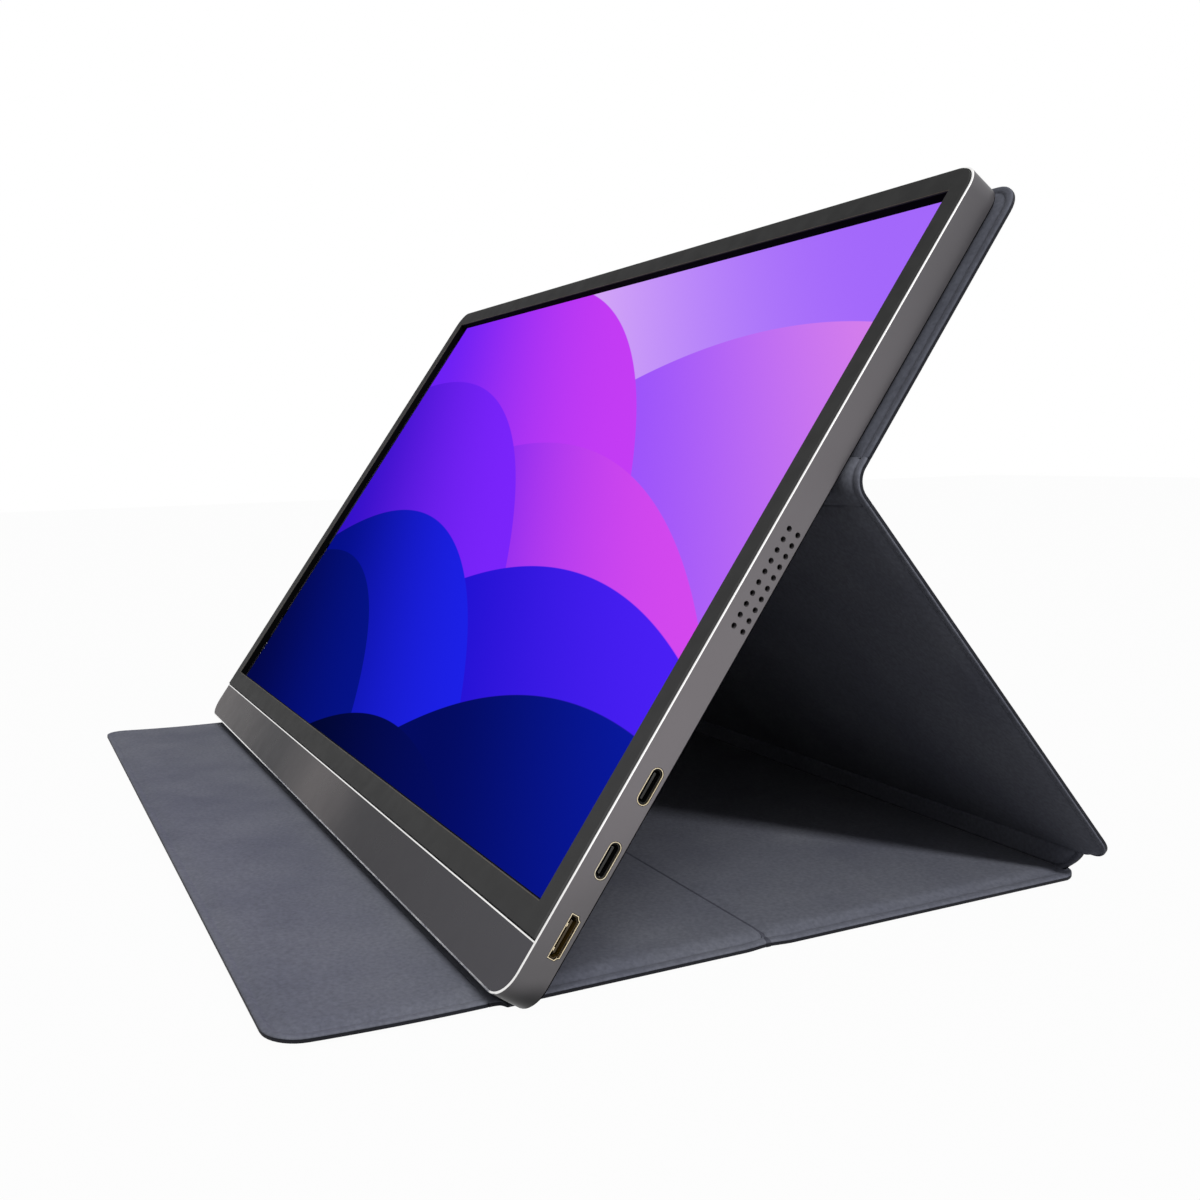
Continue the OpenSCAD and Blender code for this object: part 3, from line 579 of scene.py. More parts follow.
def drill(name, side, height, depth, diameter, sink=0.12):
    """A drill along x with a countersink at the wall's outer face."""
    deselect()
    bpy.ops.mesh.primitive_cylinder_add(
        vertices=20, radius=diameter / 2, depth=4,
        location=(side * (half_w + 0.5), height, depth), rotation=(0, math.pi / 2, 0))
    bit = settled(name)
    pick(bit, "FACE", lambda at, n: side * n.x > 0.9)
    bpy.ops.transform.translate(value=(-side * (2.5 - sink), 0, 0))
    widen = 1 + 4 * sink / diameter
    extrude(side * 2 * sink, 0, 0)
    bpy.ops.transform.resize(value=(1, widen, widen),
                             center_override=(side * half_w, height, depth))
    leave_edit()
    return bit


usb_room, hdmi_room, audio_room, control_room = 0.24, 0.2, 0.3, 0.3


def slot_cutter(side, height, depth, size, room, cut=None):
    """A bar through the side wall, wider than what it makes room for."""
    ends = sorted((side * (half_w - 3), side * (half_w + 1)))
    return slot_bar("cutter", *ends, height, depth, (size[0] + room, size[1] + room), cut)


cutters = [slot_cutter(1, height, usb_depth, usb_size, usb_room)
           for height in usb_heights.values()]
cutters.append(slot_cutter(1, hdmi_height, hdmi_depth, hdmi_size, hdmi_room, hdmi_cut))
for side in (1, -1):
    for row in range(grille_rows):
        height = speaker_height + (row - (grille_rows - 1) / 2) * grille_pitch
        cutters += [drill("cutter", side, height, depth, grille_d) for depth in grille_columns]
cutters.append(drill("cutter", -1, audio_height, audio_depth, audio_d + audio_room, 0.25))
for height, size in ((power_height, power_size), (menu_height, menu_size)):
    cutters.append(slot_cutter(-1, height, control_depth, size, control_room))
cutter = joined("cutter", cutters)
modify(shell, "BOOLEAN", object=cutter, operation="DIFFERENCE", solver="EXACT")
bpy.data.objects.remove(cutter)
finish_piece(shell, monitor_place, "monitor", [shell_metal, cut_edge, painted_shade_black], 30)
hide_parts("rear_shell")
paint(shell, monitor_place,
      lambda at, n: 0.6 < n.z < 0.99 and -cut_rise - edge_break < at.z < 0.01)
# The rounded back edge is painted near-black: a painted shade line where the shell meets the cover
paint(shell, monitor_place,
      lambda at, n: -0.99 < n.z < -0.1 and at.z < -monitor_t + back_chamfer, 2)

# %% [markdown]
# The chin is a plate of the same metal, flush with the rim. Its upper edge carries the same shallow
# polished cut where it meets the black bezel: the sheet is cut along the edge and the edge let down.

# %% Chin panel
chin_h, chin_t = 15, 1.2
chin_cut, chin_drop = 0.36, 0.08
inner_x = half_w - rim - 0.03
inner_r = corner_r - rim
seam = 0.03
chin_top = chin_h - 0.2
chin = add_sheet("chin_panel_metal", (-inner_x + seam, rim + seam), (inner_x - seam, chin_top))
round_corners(chin, inner_r, 12, lambda at, n: at.y < 5)
box_up(chin, chin_t)
bpy.ops.mesh.bisect(plane_co=(0, chin_top - chin_cut, 0), plane_no=(0, 1, 0))
pick(chin, "VERT", lambda at, n: at.y > chin_top - 0.01 and at.z > -0.01)
bpy.ops.transform.translate(value=(0, 0, -chin_drop))
leave_edit()
finish_piece(chin, monitor_place, "monitor", [chin_metal, cut_edge], 30)
paint(chin, monitor_place, lambda at, n: 0.9 < n.z < 0.99 and n.y > 0.1)
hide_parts("chin_panel")

# %% [markdown]
# The bezel is a moulded frame. A sheet with rounded upper corners is inset to the screen opening,
# the middle is pushed down to the glass and opened, and the edge round the opening gets a fine
# radius that catches a line of light, helped by a painted highlight of a lighter warm colour. The
# steep walls of the recess are painted near-black as shade.

# %% Front bezel
opening_w, opening_h, opening_v = 345.2, 194.6, 22.5
glass_depth = 3.2
bezel_level = -0.12
lip = 0.4
bezel = add_sheet("front_bezel_moulding", (-inner_x + seam, chin_h + seam),
                  (inner_x - seam, shell_h - rim - seam))
round_corners(bezel, inner_r, 12, lambda at, n: at.y > 50)
bezel.data.transform(Matrix.Translation((0, 0, -0.6)))
pick(bezel, "FACE", everything)
steps_inward([(0.16, 0.0), (0.04, 0.45), (0.1, 0.15)])
bpy.ops.mesh.inset(thickness=(half_w - opening_w / 2 - rim) - lip - 0.4, depth=0)


def square_up(piece, low, high):
    """Draw the selected inner outline out to an exact rectangle, corner points included."""
    mesh = bmesh.from_edit_mesh(piece.data)
    middle = (Vector(low) + Vector(high)) / 2
    for vert in picked_corners(mesh):
        vert.co.x = low[0] if vert.co.x < middle.x else high[0]
        vert.co.y = low[1] if vert.co.y < middle.y else high[1]
    bmesh.update_edit_mesh(piece.data)


square_up(bezel, (-opening_w / 2 - lip, opening_v - lip),
          (opening_w / 2 + lip, opening_v + opening_h + lip))
bpy.ops.mesh.remove_doubles(threshold=0.001)
pick(bezel, "FACE", lambda at, n: abs(at.x) < 1 and abs(at.y - opening_v - opening_h / 2) < 5)
steps_inward([(0.12, -0.03), (0.16, -0.12), (0.12, -0.25), (0.001, -glass_depth + 0.7)])
bpy.ops.mesh.delete(type="FACE")
leave_edit()
modify(bezel, "SOLIDIFY", thickness=0.9, offset=-1)
finish_piece(bezel, monitor_place @ Matrix.Translation((0, 0, bezel_level)), "monitor",
             [bezel_black, painted_shade_black, bezel_painted_highlight], 40)
# Painted shade: the steep walls inside the bezel are painted near-black
paint(bezel, monitor_place, lambda at, n: abs(n.z) < 0.3 and at.z < -0.3)
# Painted highlight: the sloped lip round the opening is painted lighter
paint(bezel, monitor_place, lambda at, n: 0.5 < n.z < 0.95 and at.z > -0.6
      and abs(at.x) < opening_w / 2 + 1 and opening_v - 1 < at.y < opening_v + opening_h + 1, 2)
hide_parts("front_bezel")

# %% [markdown]
# The display is a glass cell with an anti-glare coat, lit from behind. Its picture is a generic
# one: soft overlapping discs in pink, violet and blue, each shaded across its own width. It is
# worked out in the shader from millimetres on the glass, as a light of its own plus a weak gloss.

# %% Display picture
# Each disc: centre across, centre up (from the glass's lower edge), radius, colour at the upper
# right of its crest, colour at the lower left; later discs lie over earlier ones.
sky = ("#a368fb", "#dfb4f6")
sky_middle, sky_reach = (60, 150), 130
crest_shift, shade_reach = 20, 110
discs = [
    (128, -88, 250, "#e68ae6", "#9a52fb"),
    (-112, -50, 258, "#c43cf4", "#6a20f4"),
    (6, -140, 266, "#d348ee", "#5a18f0"),
    (-152, -96, 258, "#7a24fb", "#3210c8"),
    (78, -156, 236, "#4c20f8", "#1c10d0"),
    (-88, -126, 220, "#1c20e8", "#040e86"),
    (138, -172, 216, "#0a1cb0", "#020a5e"),
    (-150, -112, 182, "#04128a", "#020746"),
    (24, -168, 184, "#030c66", "#01062e"),
]


def display_picture(name):
    material, tree, shader, coords = new_material(name)
    flat = add(tree, "Mapping", {"Vector": coords},
               {"Rotation": (-tilt, 0, 0), "Scale": (1000, 1000, 1000)}, vector_type="POINT")
    origin = Matrix.Rotation(-tilt, 3, "X") @ (monitor_foot * 1000)
    flat.inputs["Location"].default_value = (0, -origin.y - opening_v, 0)
    split = add(tree, "SeparateXYZ", {"Vector": flat.outputs["Vector"]})
    across, up = split.outputs["X"], split.outputs["Y"]

    def slope(x, y, reach):
        """0 at the lower left of a place and 1 at its upper right."""
        a = add(tree, "Math", {0: across}, {1: x}, operation="SUBTRACT")
        b = add(tree, "Math", {0: up}, {1: y}, operation="SUBTRACT")
        both = add(tree, "Math", {0: a.outputs[0], 1: b.outputs[0]}, operation="ADD")
        return add(tree, "MapRange", {"Value": both.outputs[0]},
                   {"From Min": -reach, "From Max": reach},
                   interpolation_type="SMOOTHSTEP").outputs["Result"]

    def blend_colours(factor, low, high):
        mix = add(tree, "Mix", {0: factor}, data_type="RGBA")
        for index, value in ((6, low), (7, high)):
            if isinstance(value, str):
                mix.inputs[index].default_value = linear(value)
            else:
                tree.links.new(value, mix.inputs[index])
        return mix.outputs[2]

    picture = blend_colours(slope(*sky_middle, sky_reach), sky[1], sky[0])
    for x, y, radius, bright, deep in discs:
        here = add(tree, "CombineXYZ", {"X": across, "Y": up})
        reach = add(tree, "VectorMath", {0: here.outputs["Vector"]}, operation="DISTANCE")
        reach.inputs[1].default_value = (x, y, 0)
        inside = add(tree, "MapRange", {"Value": reach.outputs["Value"]},
                     {"From Min": radius + 0.15, "From Max": radius - 0.15})
        crest = slope(x + crest_shift, y + radius - crest_shift, shade_reach)
        shade = blend_colours(crest, deep, bright)
        picture = blend_colours(inside.outputs["Result"], picture, shade)
    wire(tree, shader, {
        "Emission Color": picture,
        "Normal": fine_grain(tree, coords, 0.25, 0.002, 0.1),
    }, {"Emission Strength": 1, "Base Color": linear("#020203"), "Roughness": 0.4,
        "Specular IOR Level": 0})
    return material


screen_lit = display_picture("anti_glare_lit_display")
glass_edge, glass_t = 1, 1.1
display = add_sheet("display_glass", (-opening_w / 2 - glass_edge, opening_v - glass_edge),
                    (opening_w / 2 + glass_edge, opening_v + opening_h + glass_edge))
box_up(display, glass_t)
pick(display, "EDGE", lambda at, way: at.z > -0.01)
bevel_edges(0.15, 2)
leave_edit()
finish_piece(display, monitor_place @ Matrix.Translation((0, 0, -glass_depth)), "monitor",
             screen_lit)
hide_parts("lcd_cell")

# %% [markdown]
# Each socket is two pieces: a drawn and plated shell that shows as a thin warm rim in the wall,
# and a dark insert with its tongue. The shell is a bar with its front face inset and pushed in.

# %% Sockets
def socket(name, node, height, depth, size, cut, tongue, inside):
    back, front = half_w - 5.7, half_w - 0.12
    sleeve = slot_bar(name + "_rim", back, front, height, depth, size, cut)
    pick(sleeve, "FACE", lambda at, n: n.x > 0.9)
    steps_inward([(0.03, 0.04), (0.13, 0.0), (0.03, -0.06), (0.001, -0.5)])
    bpy.ops.mesh.delete(type="FACE")
    leave_edit()
    finish_piece(sleeve, monitor_place, "monitor", plated_brass)
    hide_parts(node)
    room = 0.4
    insert = slot_bar(name + "_insert", back + 0.3, front - 0.35, height, depth,
                      (size[0] - 2 * room, size[1] - 2 * room), cut and cut * 0.8)
    pick(insert, "FACE", lambda at, n: n.x > 0.9)
    steps_inward([(0.12, 0.0), (0.02, -4.2)])
    leave_edit()
    blade = add_box("blade", (back + 0.5, height - tongue[0] / 2, depth - tongue[1] / 2),
                    (front - 0.9, height + tongue[0] / 2, depth + tongue[1] / 2))
    modify(blade, "BEVEL", width=0.15, segments=2)
    insert = joined(name + "_insert", [insert, blade])
    finish_piece(insert, monitor_place, "monitor", inside)


for node_name, height in usb_heights.items():
    socket(node_name, node_name, height, usb_depth, usb_size, None, (6.6, 0.7), insert_black)
socket("mini_hdmi", "hdmi_socket", hdmi_height, hdmi_depth, hdmi_size, hdmi_cut, (8, 0.6),
       insert_brown)

# Two spring tabs of the mini HDMI shell reach in over the tongue
tabs = [add_box("tab", (half_w - 1.6, hdmi_height + up - 0.4, hdmi_depth + 0.5),
                (half_w - 0.8, hdmi_height + up + 0.4, hdmi_depth + 0.75)) for up in (-3.2, 2.6)]
tabs = joined("mini_hdmi_spring_tabs", tabs)
modify(tabs, "BEVEL", width=0.1, segments=2)
finish_piece(tabs, monitor_place, "monitor", plated_brass)

# %% [markdown]
# The cover's panels are boards wrapped in synthetic leather, and the wrapping is pressed hot round
# the board: from the outside in there is a rolled edge, a pressed line and a soft step up to the
# field over the board. The top face of a rounded sheet is inset ring by ring, and each new ring is
# drawn out to its own rounded outline and height, so the corners keep a real radius.

# %% Panels: outlines and rings
border_w = 3
slight = 0.06
least_r = 0.8
shares = {"edge": (1, 1), "fold": (slight, 1), "crease": (slight, slight)}


class Outline:
    """A rounded rectangle. An end is an "edge" with the whole pressed border, a "fold" where only
    the field steps down, or a "crease" where the field runs on almost to the end."""

    def __init__(self, half, y0, y1, r0, r1, end0, end1):
        self.half, self.y0, self.y1, self.r0, self.r1 = half, y0, y1, r0, r1
        self.end0, self.end1 = end0, end1

    def inset(self, by, field_r=None):
        def taken(end):
            border, field = shares[end]
            return border * min(by, border_w) + field * max(by - border_w, 0)

        def radius(r, end):
            if field_r and by > border_w and (end != "crease" or r > 5):
                return max(field_r - (by - border_w), least_r)
            return max(r - by, least_r)

        return Outline(self.half - by, self.y0 + taken(self.end0), self.y1 - taken(self.end1),
                       radius(self.r0, self.end0), radius(self.r1, self.end1),
                       self.end0, self.end1)

    def corner(self, at):
        """The centre and radius of the corner that a point belongs to."""
        lower = at.y < (self.y0 + self.y1) / 2
        r = self.r0 if lower else self.r1
        x = math.copysign(self.half - r, at.x)
        return Vector((x, self.y0 + r if lower else self.y1 - r)), r


def rounded_sheet(name, outline, z):
    """A flat sheet with the outline's corners, at a height."""
    sheet = add_sheet(name, (-outline.half, outline.y0), (outline.half, outline.y1))
    middle = (outline.y0 + outline.y1) / 2
    round_corners(sheet, outline.r0, 10, lambda at, n: at.y < middle)
    round_corners(sheet, outline.r1, 10, lambda at, n: at.y > outline.y1 - 0.01)
    leave_edit()
    sheet.data.transform(Matrix.Translation((0, 0, z)))
    return sheet


def ring(piece, old, new, z):
    """Inset the selected face, and draw its outline out from the old outline to a new one."""
    bpy.ops.mesh.inset(thickness=0.02)
    mesh = bmesh.from_edit_mesh(piece.data)
    for vert in picked_corners(mesh):
        centre, radius = old.corner(vert.co)
        way = (vert.co.xy - centre).normalized()
        centre, radius = new.corner(vert.co)
        vert.co = Vector((*(centre + way * radius), z))
    bmesh.update_edit_mesh(piece.data)


def cut_across(piece, places):
    """Cut the whole piece at each y, so that it can bend there."""
    for y in places:
        pick(piece, "FACE", everything)
        bpy.ops.mesh.bisect(plane_co=(0, y, 0), plane_no=(0, 1, 0))
    leave_edit()


def ease(value):
    value = min(max(value, 0), 1)
    return value * value * (3 - 2 * value)


# %% [markdown]
# Heights are counted from the middle of the board. The skin is turned up round the edge and the
# lining is laid on it, so the seam shows as a line half way up. Both are hollow over the board.

# %% Panels: lining and skin
seam_up = 0.16
lining_wall, skin_wall = 0.4, -0.5
# Each ring: how far in from the edge, and its height
lining_rings = [(0.14, 0.51), (0.32, 0.62), (0.55, 0.68), (0.85, 0.71), (1.3, 0.70), (1.75, 0.67),
                (2.0, 0.50), (2.3, 0.46), (2.65, 0.57), (3.05, 0.72), (3.7, 0.86), (4.4, 1.05),
                (5.1, 1.20), (5.9, 1.33), (6.9, 1.42), (8.5, 1.42), (11, 1.40)]
skin_rings = [(0.12, -0.72), (0.4, -0.82), (2.6, -0.84), (3.4, -0.95), (4.4, -1.15), (5.4, -1.4),
              (6.6, -1.62), (8, -1.65)]
board_edge, board_play, board_up = 5.6, 0.05, 1.17
field_r = 7


def pressed(piece, outline, first, rings, sign):
    """Press the rings into the face that looks up (sign 1) or down (sign -1)."""
    pick(piece, "FACE", lambda at, n: sign * n.z > 0.9)
    last = first
    for by, z in rings:
        here = outline.inset(by, field_r)
        ring(piece, last, here, z)
        last = here
    pick(piece, "FACE", lambda at, n: sign * n.z < -0.9)
    pocket = outline.inset(board_edge, field_r)
    ring(piece, first, pocket, seam_up)
    ring(piece, pocket, outline.inset(board_edge + board_play, field_r), sign * board_up)
    leave_edit()


def panel_lining(name, node, outline, where, body, bend=None, leather=lining_leather):
    """The lining of one panel, with its pressed edge and raised field."""
    first = outline.inset(0.05)
    lining = rounded_sheet(name, first, lining_wall)
    box_up(lining, lining_wall - seam_up)
    pressed(lining, outline, first, lining_rings, 1)
    if bend:
        bend(lining)
    finish_piece(lining, where, body, leather, 60)
    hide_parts(node)


def panel_skin(name, node, outline, where, body, bend=None):
    """The outer skin of one panel, turned up round its edge."""
    skin = rounded_sheet(name, outline, seam_up)
    box_up(skin, seam_up - skin_wall)
    pressed(skin, outline, outline, skin_rings, -1)
    if bend:
        bend(skin)
    finish_piece(skin, where, body, skin_leather, 60)
    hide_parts(node)


# %% [markdown]
# Use has bent the cover a little. The front flap's free edge curls up off the table, the soft edge
# of the base sags on to it, and the leg gives a little under the screen. Beside the crease the
# wrapping is drawn in: the edge runs in a shallow wave and the pressed line fades out.

# %% Panels: bends
cover_w, base_w = 367, 340
leg_len = (fold_back - fold_foot).length / MM
crease_y = pivot("crease_hinge").y / MM
groove_y = pivot("groove_hinge").y / MM
rear_y = fold_rear.y / MM
flap_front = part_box("front_flap_skin")[0].y / MM
groove_half = 4
flap_curl, curl_cuts = 1.6, 9
wave_reach, wave_in, wave_depth, wave_cuts = 7, 0.65, 12, 7
fade_reach, fade_low, fade_rise = 9, 0.7, 0.7
crease_dip, crease_dip_reach = 0.5, 6
edge_sag, sag_reach = 0.75, 5.5
sag_starts_over, sag_ends_over = 8, 6
base_end = rear_y + 1.7
print("leg %.1f mm, crease at %.1f mm, groove at %.1f mm" % (leg_len, crease_y, groove_y))


def curl_flap(piece):
    span = groove_y - groove_half - flap_front
    cut_across(piece, [flap_front + span * i / curl_cuts for i in range(1, curl_cuts)])
    for vert in piece.data.vertices:
        along = max(groove_y - groove_half - vert.co.y, 0) / span
        vert.co.z += flap_curl * along ** 2


def sag(piece):
    """Let the sides of the base down; the sag starts in the groove and ends at the spine."""
    for vert in piece.data.vertices:
        inward = base_w / 2 - abs(vert.co.x)
        share = ease((vert.co.y - groove_y + groove_half) / sag_starts_over)
        share *= ease((base_end - vert.co.y) / sag_ends_over)
        vert.co.z -= edge_sag * share * ease(1 - inward / sag_reach)


def draw_in(piece):
    cut_across(piece, [crease_y + side * wave_reach * i / wave_cuts for side in (-1, 1)
                       for i in range(1, wave_cuts + 1)])
    for vert in piece.data.vertices:
        near = ease(1 - abs(vert.co.y - crease_y) / wave_reach)
        inward = base_w / 2 - abs(vert.co.x)
        if vert.co.z > 0.5 and inward < fade_reach:
            slope_up = vert.co.z
            if inward > 0.5:
                slope_up = fade_low + fade_rise * ease(inward / fade_reach)
            vert.co.z += (slope_up - vert.co.z) * near
        if vert.co.z > 0.5 and vert.co.y > crease_y:
            vert.co.z -= crease_dip * near * near * ease(inward / crease_dip_reach)
        vert.co.x -= math.copysign(wave_in * near * ease(1 - inward / wave_depth), vert.co.x)
    sag(piece)


leg_give = 1.1


def lean_back(piece):
    for vert in piece.data.vertices:
        vert.co.z -= leg_give * max(vert.co.y, 0) / leg_len


# %% [markdown]
# Five panels are made with those functions: two of the cover's back and three of its base.

# %% Panels: the five of the cover
cut_back = panel_t / 2 + 0.3
leg_gap, upper_gap = 6.5, 7.5
upper_end = shell_h + 1.6
crease_half = 0.3

panel_plan = {
    "upper": (Outline(cover_w / 2, hinge_up + upper_gap, upper_end, 1, 8.5, "fold", "edge"),
              upper_place, "upper_panel", None),
    "leg": (Outline(cover_w / 2, -1, leg_len - leg_gap, 8, 1, "crease", "fold"),
            leg_place, "leg", lean_back),
    "base_rear": (Outline(base_w / 2, crease_y + crease_half, base_end, least_r, 4,
                          "crease", "fold"), base_place, "base_rear", draw_in),
    "base_middle": (Outline(base_w / 2, groove_y + groove_half, crease_y - crease_half, 1, least_r,
                            "fold", "crease"), base_place, "base_middle", draw_in),
    "front_flap": (Outline(base_w / 2, flap_front, groove_y - groove_half, 8.5, 1, "edge", "fold"),
                   base_place, "front_flap", curl_flap),
}
# The upper panel takes the lining that is painted darker as shade
for name, (outline, where, body, bend) in panel_plan.items():
    panel_lining(name + "_lining_leather", name + "_lining", outline, where, body, bend,
                 upper_painted_shade_leather if name == "upper" else lining_leather)
    panel_skin(name + "_skin_leather", name + "_skin", outline, where, body, bend)


# The boards of the bent panels bend with them
board_half = 1.15


def bent_board(node, y0, y1, where, body, bend):
    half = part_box(node)[1].x / MM
    board = add_box(node + "_bent", (-half, y0, -board_half), (half, y1, board_half))
    pick(board, "EDGE", lambda at, way: abs(way.z) > 1)
    bevel_edges(5, 6)
    leave_edit()
    bend(board)
    finish_piece(board, where, body, stiff_board)
    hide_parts(node)


board_in = board_edge + board_play
bent_board("front_flap_board", flap_front + board_in, groove_y - groove_half - board_in,
           base_place, "front_flap", curl_flap)
bent_board("leg_board", cut_back + board_in, leg_len - leg_gap - board_in, leg_place, "leg",
           lean_back)

# %% [markdown]
# The folds are bare webs of lining and skin that bend. Each is a strip laid along a path: its side
# profile is the same rolled edge and pressed line as the panels', so the edge of the cover runs
# through. A strip on one body rides on it; a strip between two bodies stays where it is drawn.

# %% Folds: helpers
def arc_path(start, corner, end, radius, count=14):
    """Points from start to end that round the corner with an arc."""
    start, corner, end = Vector(start), Vector(corner), Vector(end)
    a, b = (start - corner).normalized(), (end - corner).normalized()
    half = a.angle(b) / 2
    reach = radius / math.tan(half)
    centre = corner + (a + b).normalized() * radius / math.sin(half)
    first, last = corner + a * reach, corner + b * reach
    points = [start.lerp(first, i / 3) for i in range(3)]
    for i in range(count + 1):
        point = first.lerp(last, i / count) - centre
        points.append(centre + point.normalized() * radius)
    return points + [last.lerp(end, (i + 1) / 3) for i in range(3)]


def across_path(path):
    """The way across the path at each of its points, towards the lining."""
    last = len(path) - 1
    ways = [(path[min(i + 1, last)] - path[max(i - 1, 0)]).normalized() for i in range(last + 1)]
    return [Vector((-way.y, way.x)) for way in ways]


# Each column of a strip: how far in from the side, its height, and its share of the row's bulge
lining_columns = [(0.05, 0.4, 0), (0.14, 0.52, 0), (0.32, 0.63, 0), (0.55, 0.69, 0),
                  (0.85, 0.72, 0), (1.3, 0.71, 0), (1.75, 0.68, 0), (2.0, 0.51, 0),
                  (2.3, 0.47, 0), (2.65, 0.58, 0.2), (3.2, 0.64, 1), (8, 0.64, 1), (60, 0.64, 1)]
skin_columns = [(0, -0.5, 0), (0.12, -0.73, 0), (0.4, -0.83, 0), (2.6, -0.85, 0.2),
                (3.2, -0.85, 1), (8, -0.85, 1), (60, -0.85, 1)]


def strip_mesh(name, rows, columns):
    """A strip whose rows are (point, way across, half width, thickness scale, bulge)."""
    deselect()
    last_row, last_column = len(rows) - 1, 2 * len(columns) - 1
    bpy.ops.mesh.primitive_grid_add(x_subdivisions=last_column, y_subdivisions=last_row, size=1)
    strip = bpy.context.object
    strip.name = name
    pick(strip, "FACE", everything)
    extrude(0, 0, -1)
    leave_edit()
    for vert in strip.data.vertices:
        point, across, half, scale, bulge = rows[round((vert.co.y + 0.5) * last_row)]
        column = round((vert.co.x + 0.5) * last_column)
        side = -1 if column < len(columns) else 1
        inset, height, share = columns[min(column, last_column - column)]
        height = height * scale + math.copysign(share * bulge, height)
        if vert.co.z < -0.5:
            height = seam_up * scale
        at = point + across * height
        vert.co = Vector((side * (half - inset), at.x, at.y))
    pick(strip, "FACE", everything)
    bpy.ops.mesh.normals_make_consistent(inside=False)
    leave_edit()
    return strip


def fold_pair(name, rows, bodies, lining_node=None, skin_node=None, bend=None,
              leather=lining_leather):
    """The lining strip and the skin strip of one fold, or of one stiff part between folds."""
    for kind, columns, material, node in (("lining", lining_columns, leather, lining_node),
                                          ("skin", skin_columns, skin_leather, skin_node)):
        strip = strip_mesh("%s_%s_web" % (name, kind), rows, columns)
        if bend:
            bend(strip)
        if len(bodies) == 1:
            finish_piece(strip, Matrix.Scale(MM, 4), bodies[0], material, 60)
        else:
            finish_piece(strip, Matrix.Scale(MM, 4), None, material, 60)
            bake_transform(strip)
        if node:
            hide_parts(node)


def in_frame(where, y, z=0):
    """A flat drawing's y and z, in millimetres, as they lie in the frame."""
    at = where @ Vector((0, y, z))
    return Vector((at.y, at.z)) / MM


# %% [markdown]
# The back fold is one wide arc. At the foot, the cover turns up from the base into a narrow spine
# and then into the leg: one path runs through both turns, and three strips share its rows, so no
# step shows between them. The cover widens up the spine in an S, and swells over its stiffener.

# %% Folds: back, rear, spine and foot
spine_place = place(fold_rear, spine_turn)
spine_len = (fold_foot - fold_rear).length / MM
lap = 0.3
leg_end = leg_len - leg_gap - lap
back_path = arc_path(in_frame(leg_place, leg_end, -leg_give * leg_end / leg_len),
                     in_frame(leg_place, leg_len + 0.26 * leg_give, -leg_give),
                     in_frame(upper_place, hinge_up + upper_gap + lap), 6)
side_play, back_bulge = 0.02, 0.35
back_rows = []
for i, (point, across) in enumerate(zip(back_path, across_path(back_path))):
    bulge = back_bulge * math.sin(math.pi * i / len(back_path))
    back_rows.append((point, across, cover_w / 2 - side_play, 1, bulge))
fold_pair("back_fold", back_rows, ("leg", "upper_panel"), "back_fold")

turn_r, foot_half, spine_grow = 1.8, 165.5, 7.5
spine_low, spine_high = 1.75, 7.5
spine_bulge, bulge_low, bulge_high = 0.68, 1.1, 7.2
between_cuts = 14
rear_path = arc_path(in_frame(base_place, rear_y - cut_back - lap), in_frame(base_place, rear_y),
                     in_frame(spine_place, spine_low), turn_r, 10)
foot_path = arc_path(in_frame(spine_place, spine_high), in_frame(spine_place, spine_len),
                     in_frame(leg_place, cut_back + lap), turn_r, 8)
between = [in_frame(spine_place, spine_low + (spine_high - spine_low) * i / between_cuts)
           for i in range(1, between_cuts)]
foot_run = rear_path + between + foot_path
spine_way = (in_frame(spine_place, 1) - in_frame(spine_place, 0)).normalized()
foot_rows = []
for point, across in zip(foot_run, across_path(foot_run)):
    up = (point - in_frame(spine_place, 0)).dot(spine_way)
    half = foot_half + spine_grow * math.sin(math.pi / 2 * min(max(up / spine_len, 0), 1))
    bulge = spine_bulge * ease((up - bulge_low) / 0.7) * ease((bulge_high - up) / 0.7)
    foot_rows.append((point, across, half, 1, bulge))
first, second = len(rear_path) - 1, len(rear_path) + len(between)
fold_pair("rear_fold", foot_rows[:first + 1], ("base_rear", "spine"), "spine_fold")
fold_pair("spine", foot_rows[first:second + 1], ("spine",), "spine_lining", "spine_skin")
fold_pair("foot_fold", foot_rows[second:], ("spine", "leg"), "foot_fold")

# %% [markdown]
# In the base, the crease is a thin flat web whose lining is painted darker, as painted shade in
# the crease, and the groove that holds the screen's foot is a soft trough: its web dips to the table
# and thins on the way.

# %% Folds: crease and groove of the base
flat = Vector((0, 1))
crease_rows = [(in_frame(base_place, crease_y - 0.6 + 0.3 * i), flat, base_w / 2 - wave_in, 1.1,
                0.2) for i in range(5)]
fold_pair("crease", crease_rows, ("base_middle", "base_rear"), "crease_fold", bend=sag,
          leather=crease_painted_shade_leather)
groove_rows = []
groove_cuts, groove_dip = 24, 1.3
for i in range(groove_cuts + 1):
    y = groove_y - groove_half - lap + (2 * groove_half + 2 * lap) * i / groove_cuts
    dip = ease((y - groove_y + 1.9) / 2.7) * ease((groove_y + groove_half + 0.2 - y) / 2)
    point = in_frame(base_place, y, -groove_dip * dip)
    groove_rows.append((point, flat, base_w / 2 - side_play - 0.4 * dip, 1 - 0.6 * dip, 0))
fold_pair("groove", groove_rows, ("front_flap", "base_middle"), "groove_fold", bend=sag)
print("fold strips made")

# %% [markdown]
# The studio is a white floor and a white surround. They show as white to the camera and in
# reflections, and the floor keeps a faint shadow. A long soft box at the right lights the base: it
# lies parallel to the leg's side edge, so the leg's shadow is sharp and the screen's is soft. Two
# very broad lamps stand for the room, and the world fills the rest at a low level.

# %% Studio
floor_size, floor_z = 6, -0.0002
white_share, fill_level = 0.97, 0.08


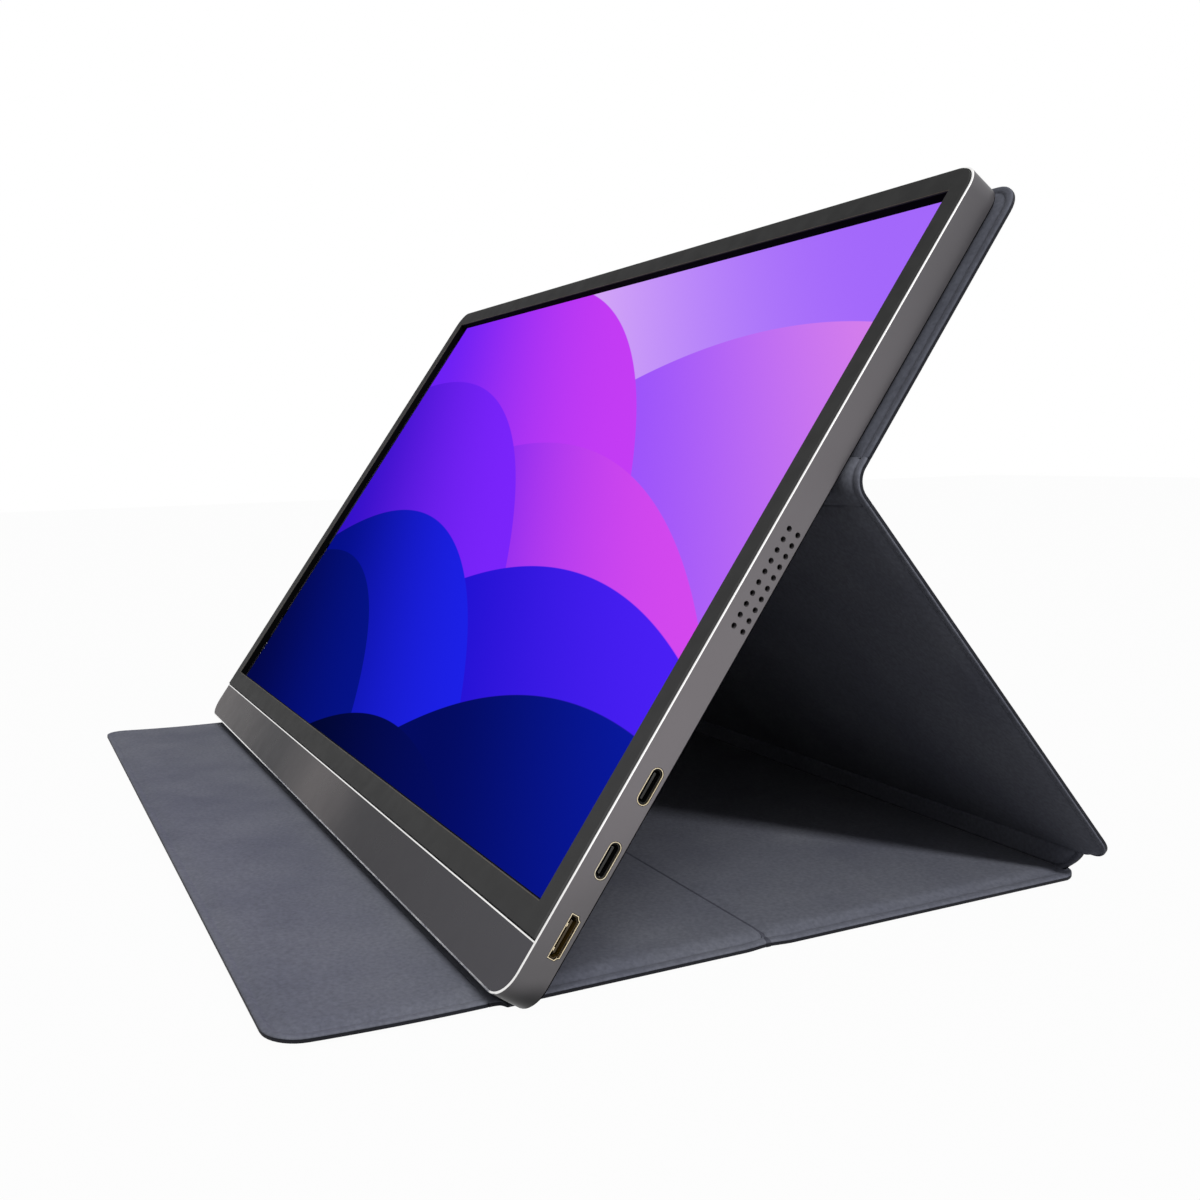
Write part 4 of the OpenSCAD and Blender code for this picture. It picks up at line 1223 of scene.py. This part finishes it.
def seen_ray(tree):
    """1 for rays that a viewer sees, straight or in a reflection or through glass; 0 for light."""
    rays = add(tree, "LightPath").outputs
    seen = add(tree, "Math", {0: rays["Is Camera Ray"], 1: rays["Is Glossy Ray"]},
               operation="MAXIMUM")
    return add(tree, "Math", {0: seen.outputs[0], 1: rays["Is Transmission Ray"]},
               operation="MAXIMUM").outputs[0]


deselect()
bpy.ops.mesh.primitive_plane_add(size=floor_size, location=(0, 0, floor_z))
floor = bpy.context.object
floor.name = "studio_floor"
floor_material, tree, shader, coords = new_material("matt_studio_paint")
tree.links.new(mottled(tree, coords, 400, "#969696", "#9c9c9c"), shader.inputs["Base Color"])
shader.inputs["Roughness"].default_value = 0.9
white = add(tree, "Emission", values={"Color": (1, 1, 1, 1), "Strength": 1})
share = add(tree, "Math", {0: seen_ray(tree)}, {1: white_share}, operation="MULTIPLY")
both = add(tree, "MixShader", {0: share.outputs[0], 1: shader.outputs[0], 2: white.outputs[0]})
tree.links.new(both.outputs[0], tree.nodes["Material Output"].inputs["Surface"])
floor.data.materials.append(floor_material)

world = bpy.data.worlds.new("studio_world")
bpy.context.scene.world = world
world.use_nodes = True
tree = world.node_tree
background = tree.nodes["Background"]
background.inputs["Color"].default_value = (1, 1, 1, 1)
strength = add(tree, "MapRange", {"Value": seen_ray(tree)}, {"To Min": fill_level, "To Max": 1})
tree.links.new(strength.outputs["Result"], background.inputs["Strength"])


def add_lamp(name, kind, power):
    data = bpy.data.lights.new(name, kind)
    data.energy = power
    lamp = bpy.data.objects.new(name, data)
    bpy.context.scene.collection.objects.link(lamp)
    return lamp


def way_to(azimuth, elevation):
    """The way to a lamp; azimuth 0 shines from +X and 90 from +Y."""
    a, e = math.radians(azimuth), math.radians(elevation)
    return Vector((math.cos(a) * math.cos(e), math.sin(a) * math.cos(e), math.sin(e)))


def add_sun(name, azimuth, elevation, power, softness):
    """A distant lamp as wide as its softness in degrees."""
    lamp = add_lamp(name, "SUN", power)
    lamp.data.angle = math.radians(softness)
    lamp.rotation_euler = way_to(azimuth, elevation).to_track_quat("Z", "Y").to_euler()


def add_strip_lamp(name, azimuth, elevation, distance, size, power, along):
    """A long soft box that faces the origin; its long side points along a direction."""
    lamp = add_lamp(name, "AREA", power)
    lamp.data.shape = "RECTANGLE"
    lamp.data.size, lamp.data.size_y = size
    way = way_to(azimuth, elevation)
    long_side = (along - way * way.dot(along)).normalized()
    turn = Matrix((long_side.cross(way), long_side, way)).transposed().to_4x4()
    lamp.matrix_world = Matrix.Translation(way * distance) @ turn


leg_way = Vector((0, math.cos(leg_turn), math.sin(leg_turn)))
add_strip_lamp("strip_key", -4, 40, 2, (0.14, 1.3), 29, leg_way)
add_sun("sky_from_the_right", 10, 64, 1.12, 110)
add_sun("front_fill", -70, 50, 0.2, 60)
print("lamps:", len(bpy.data.lights))
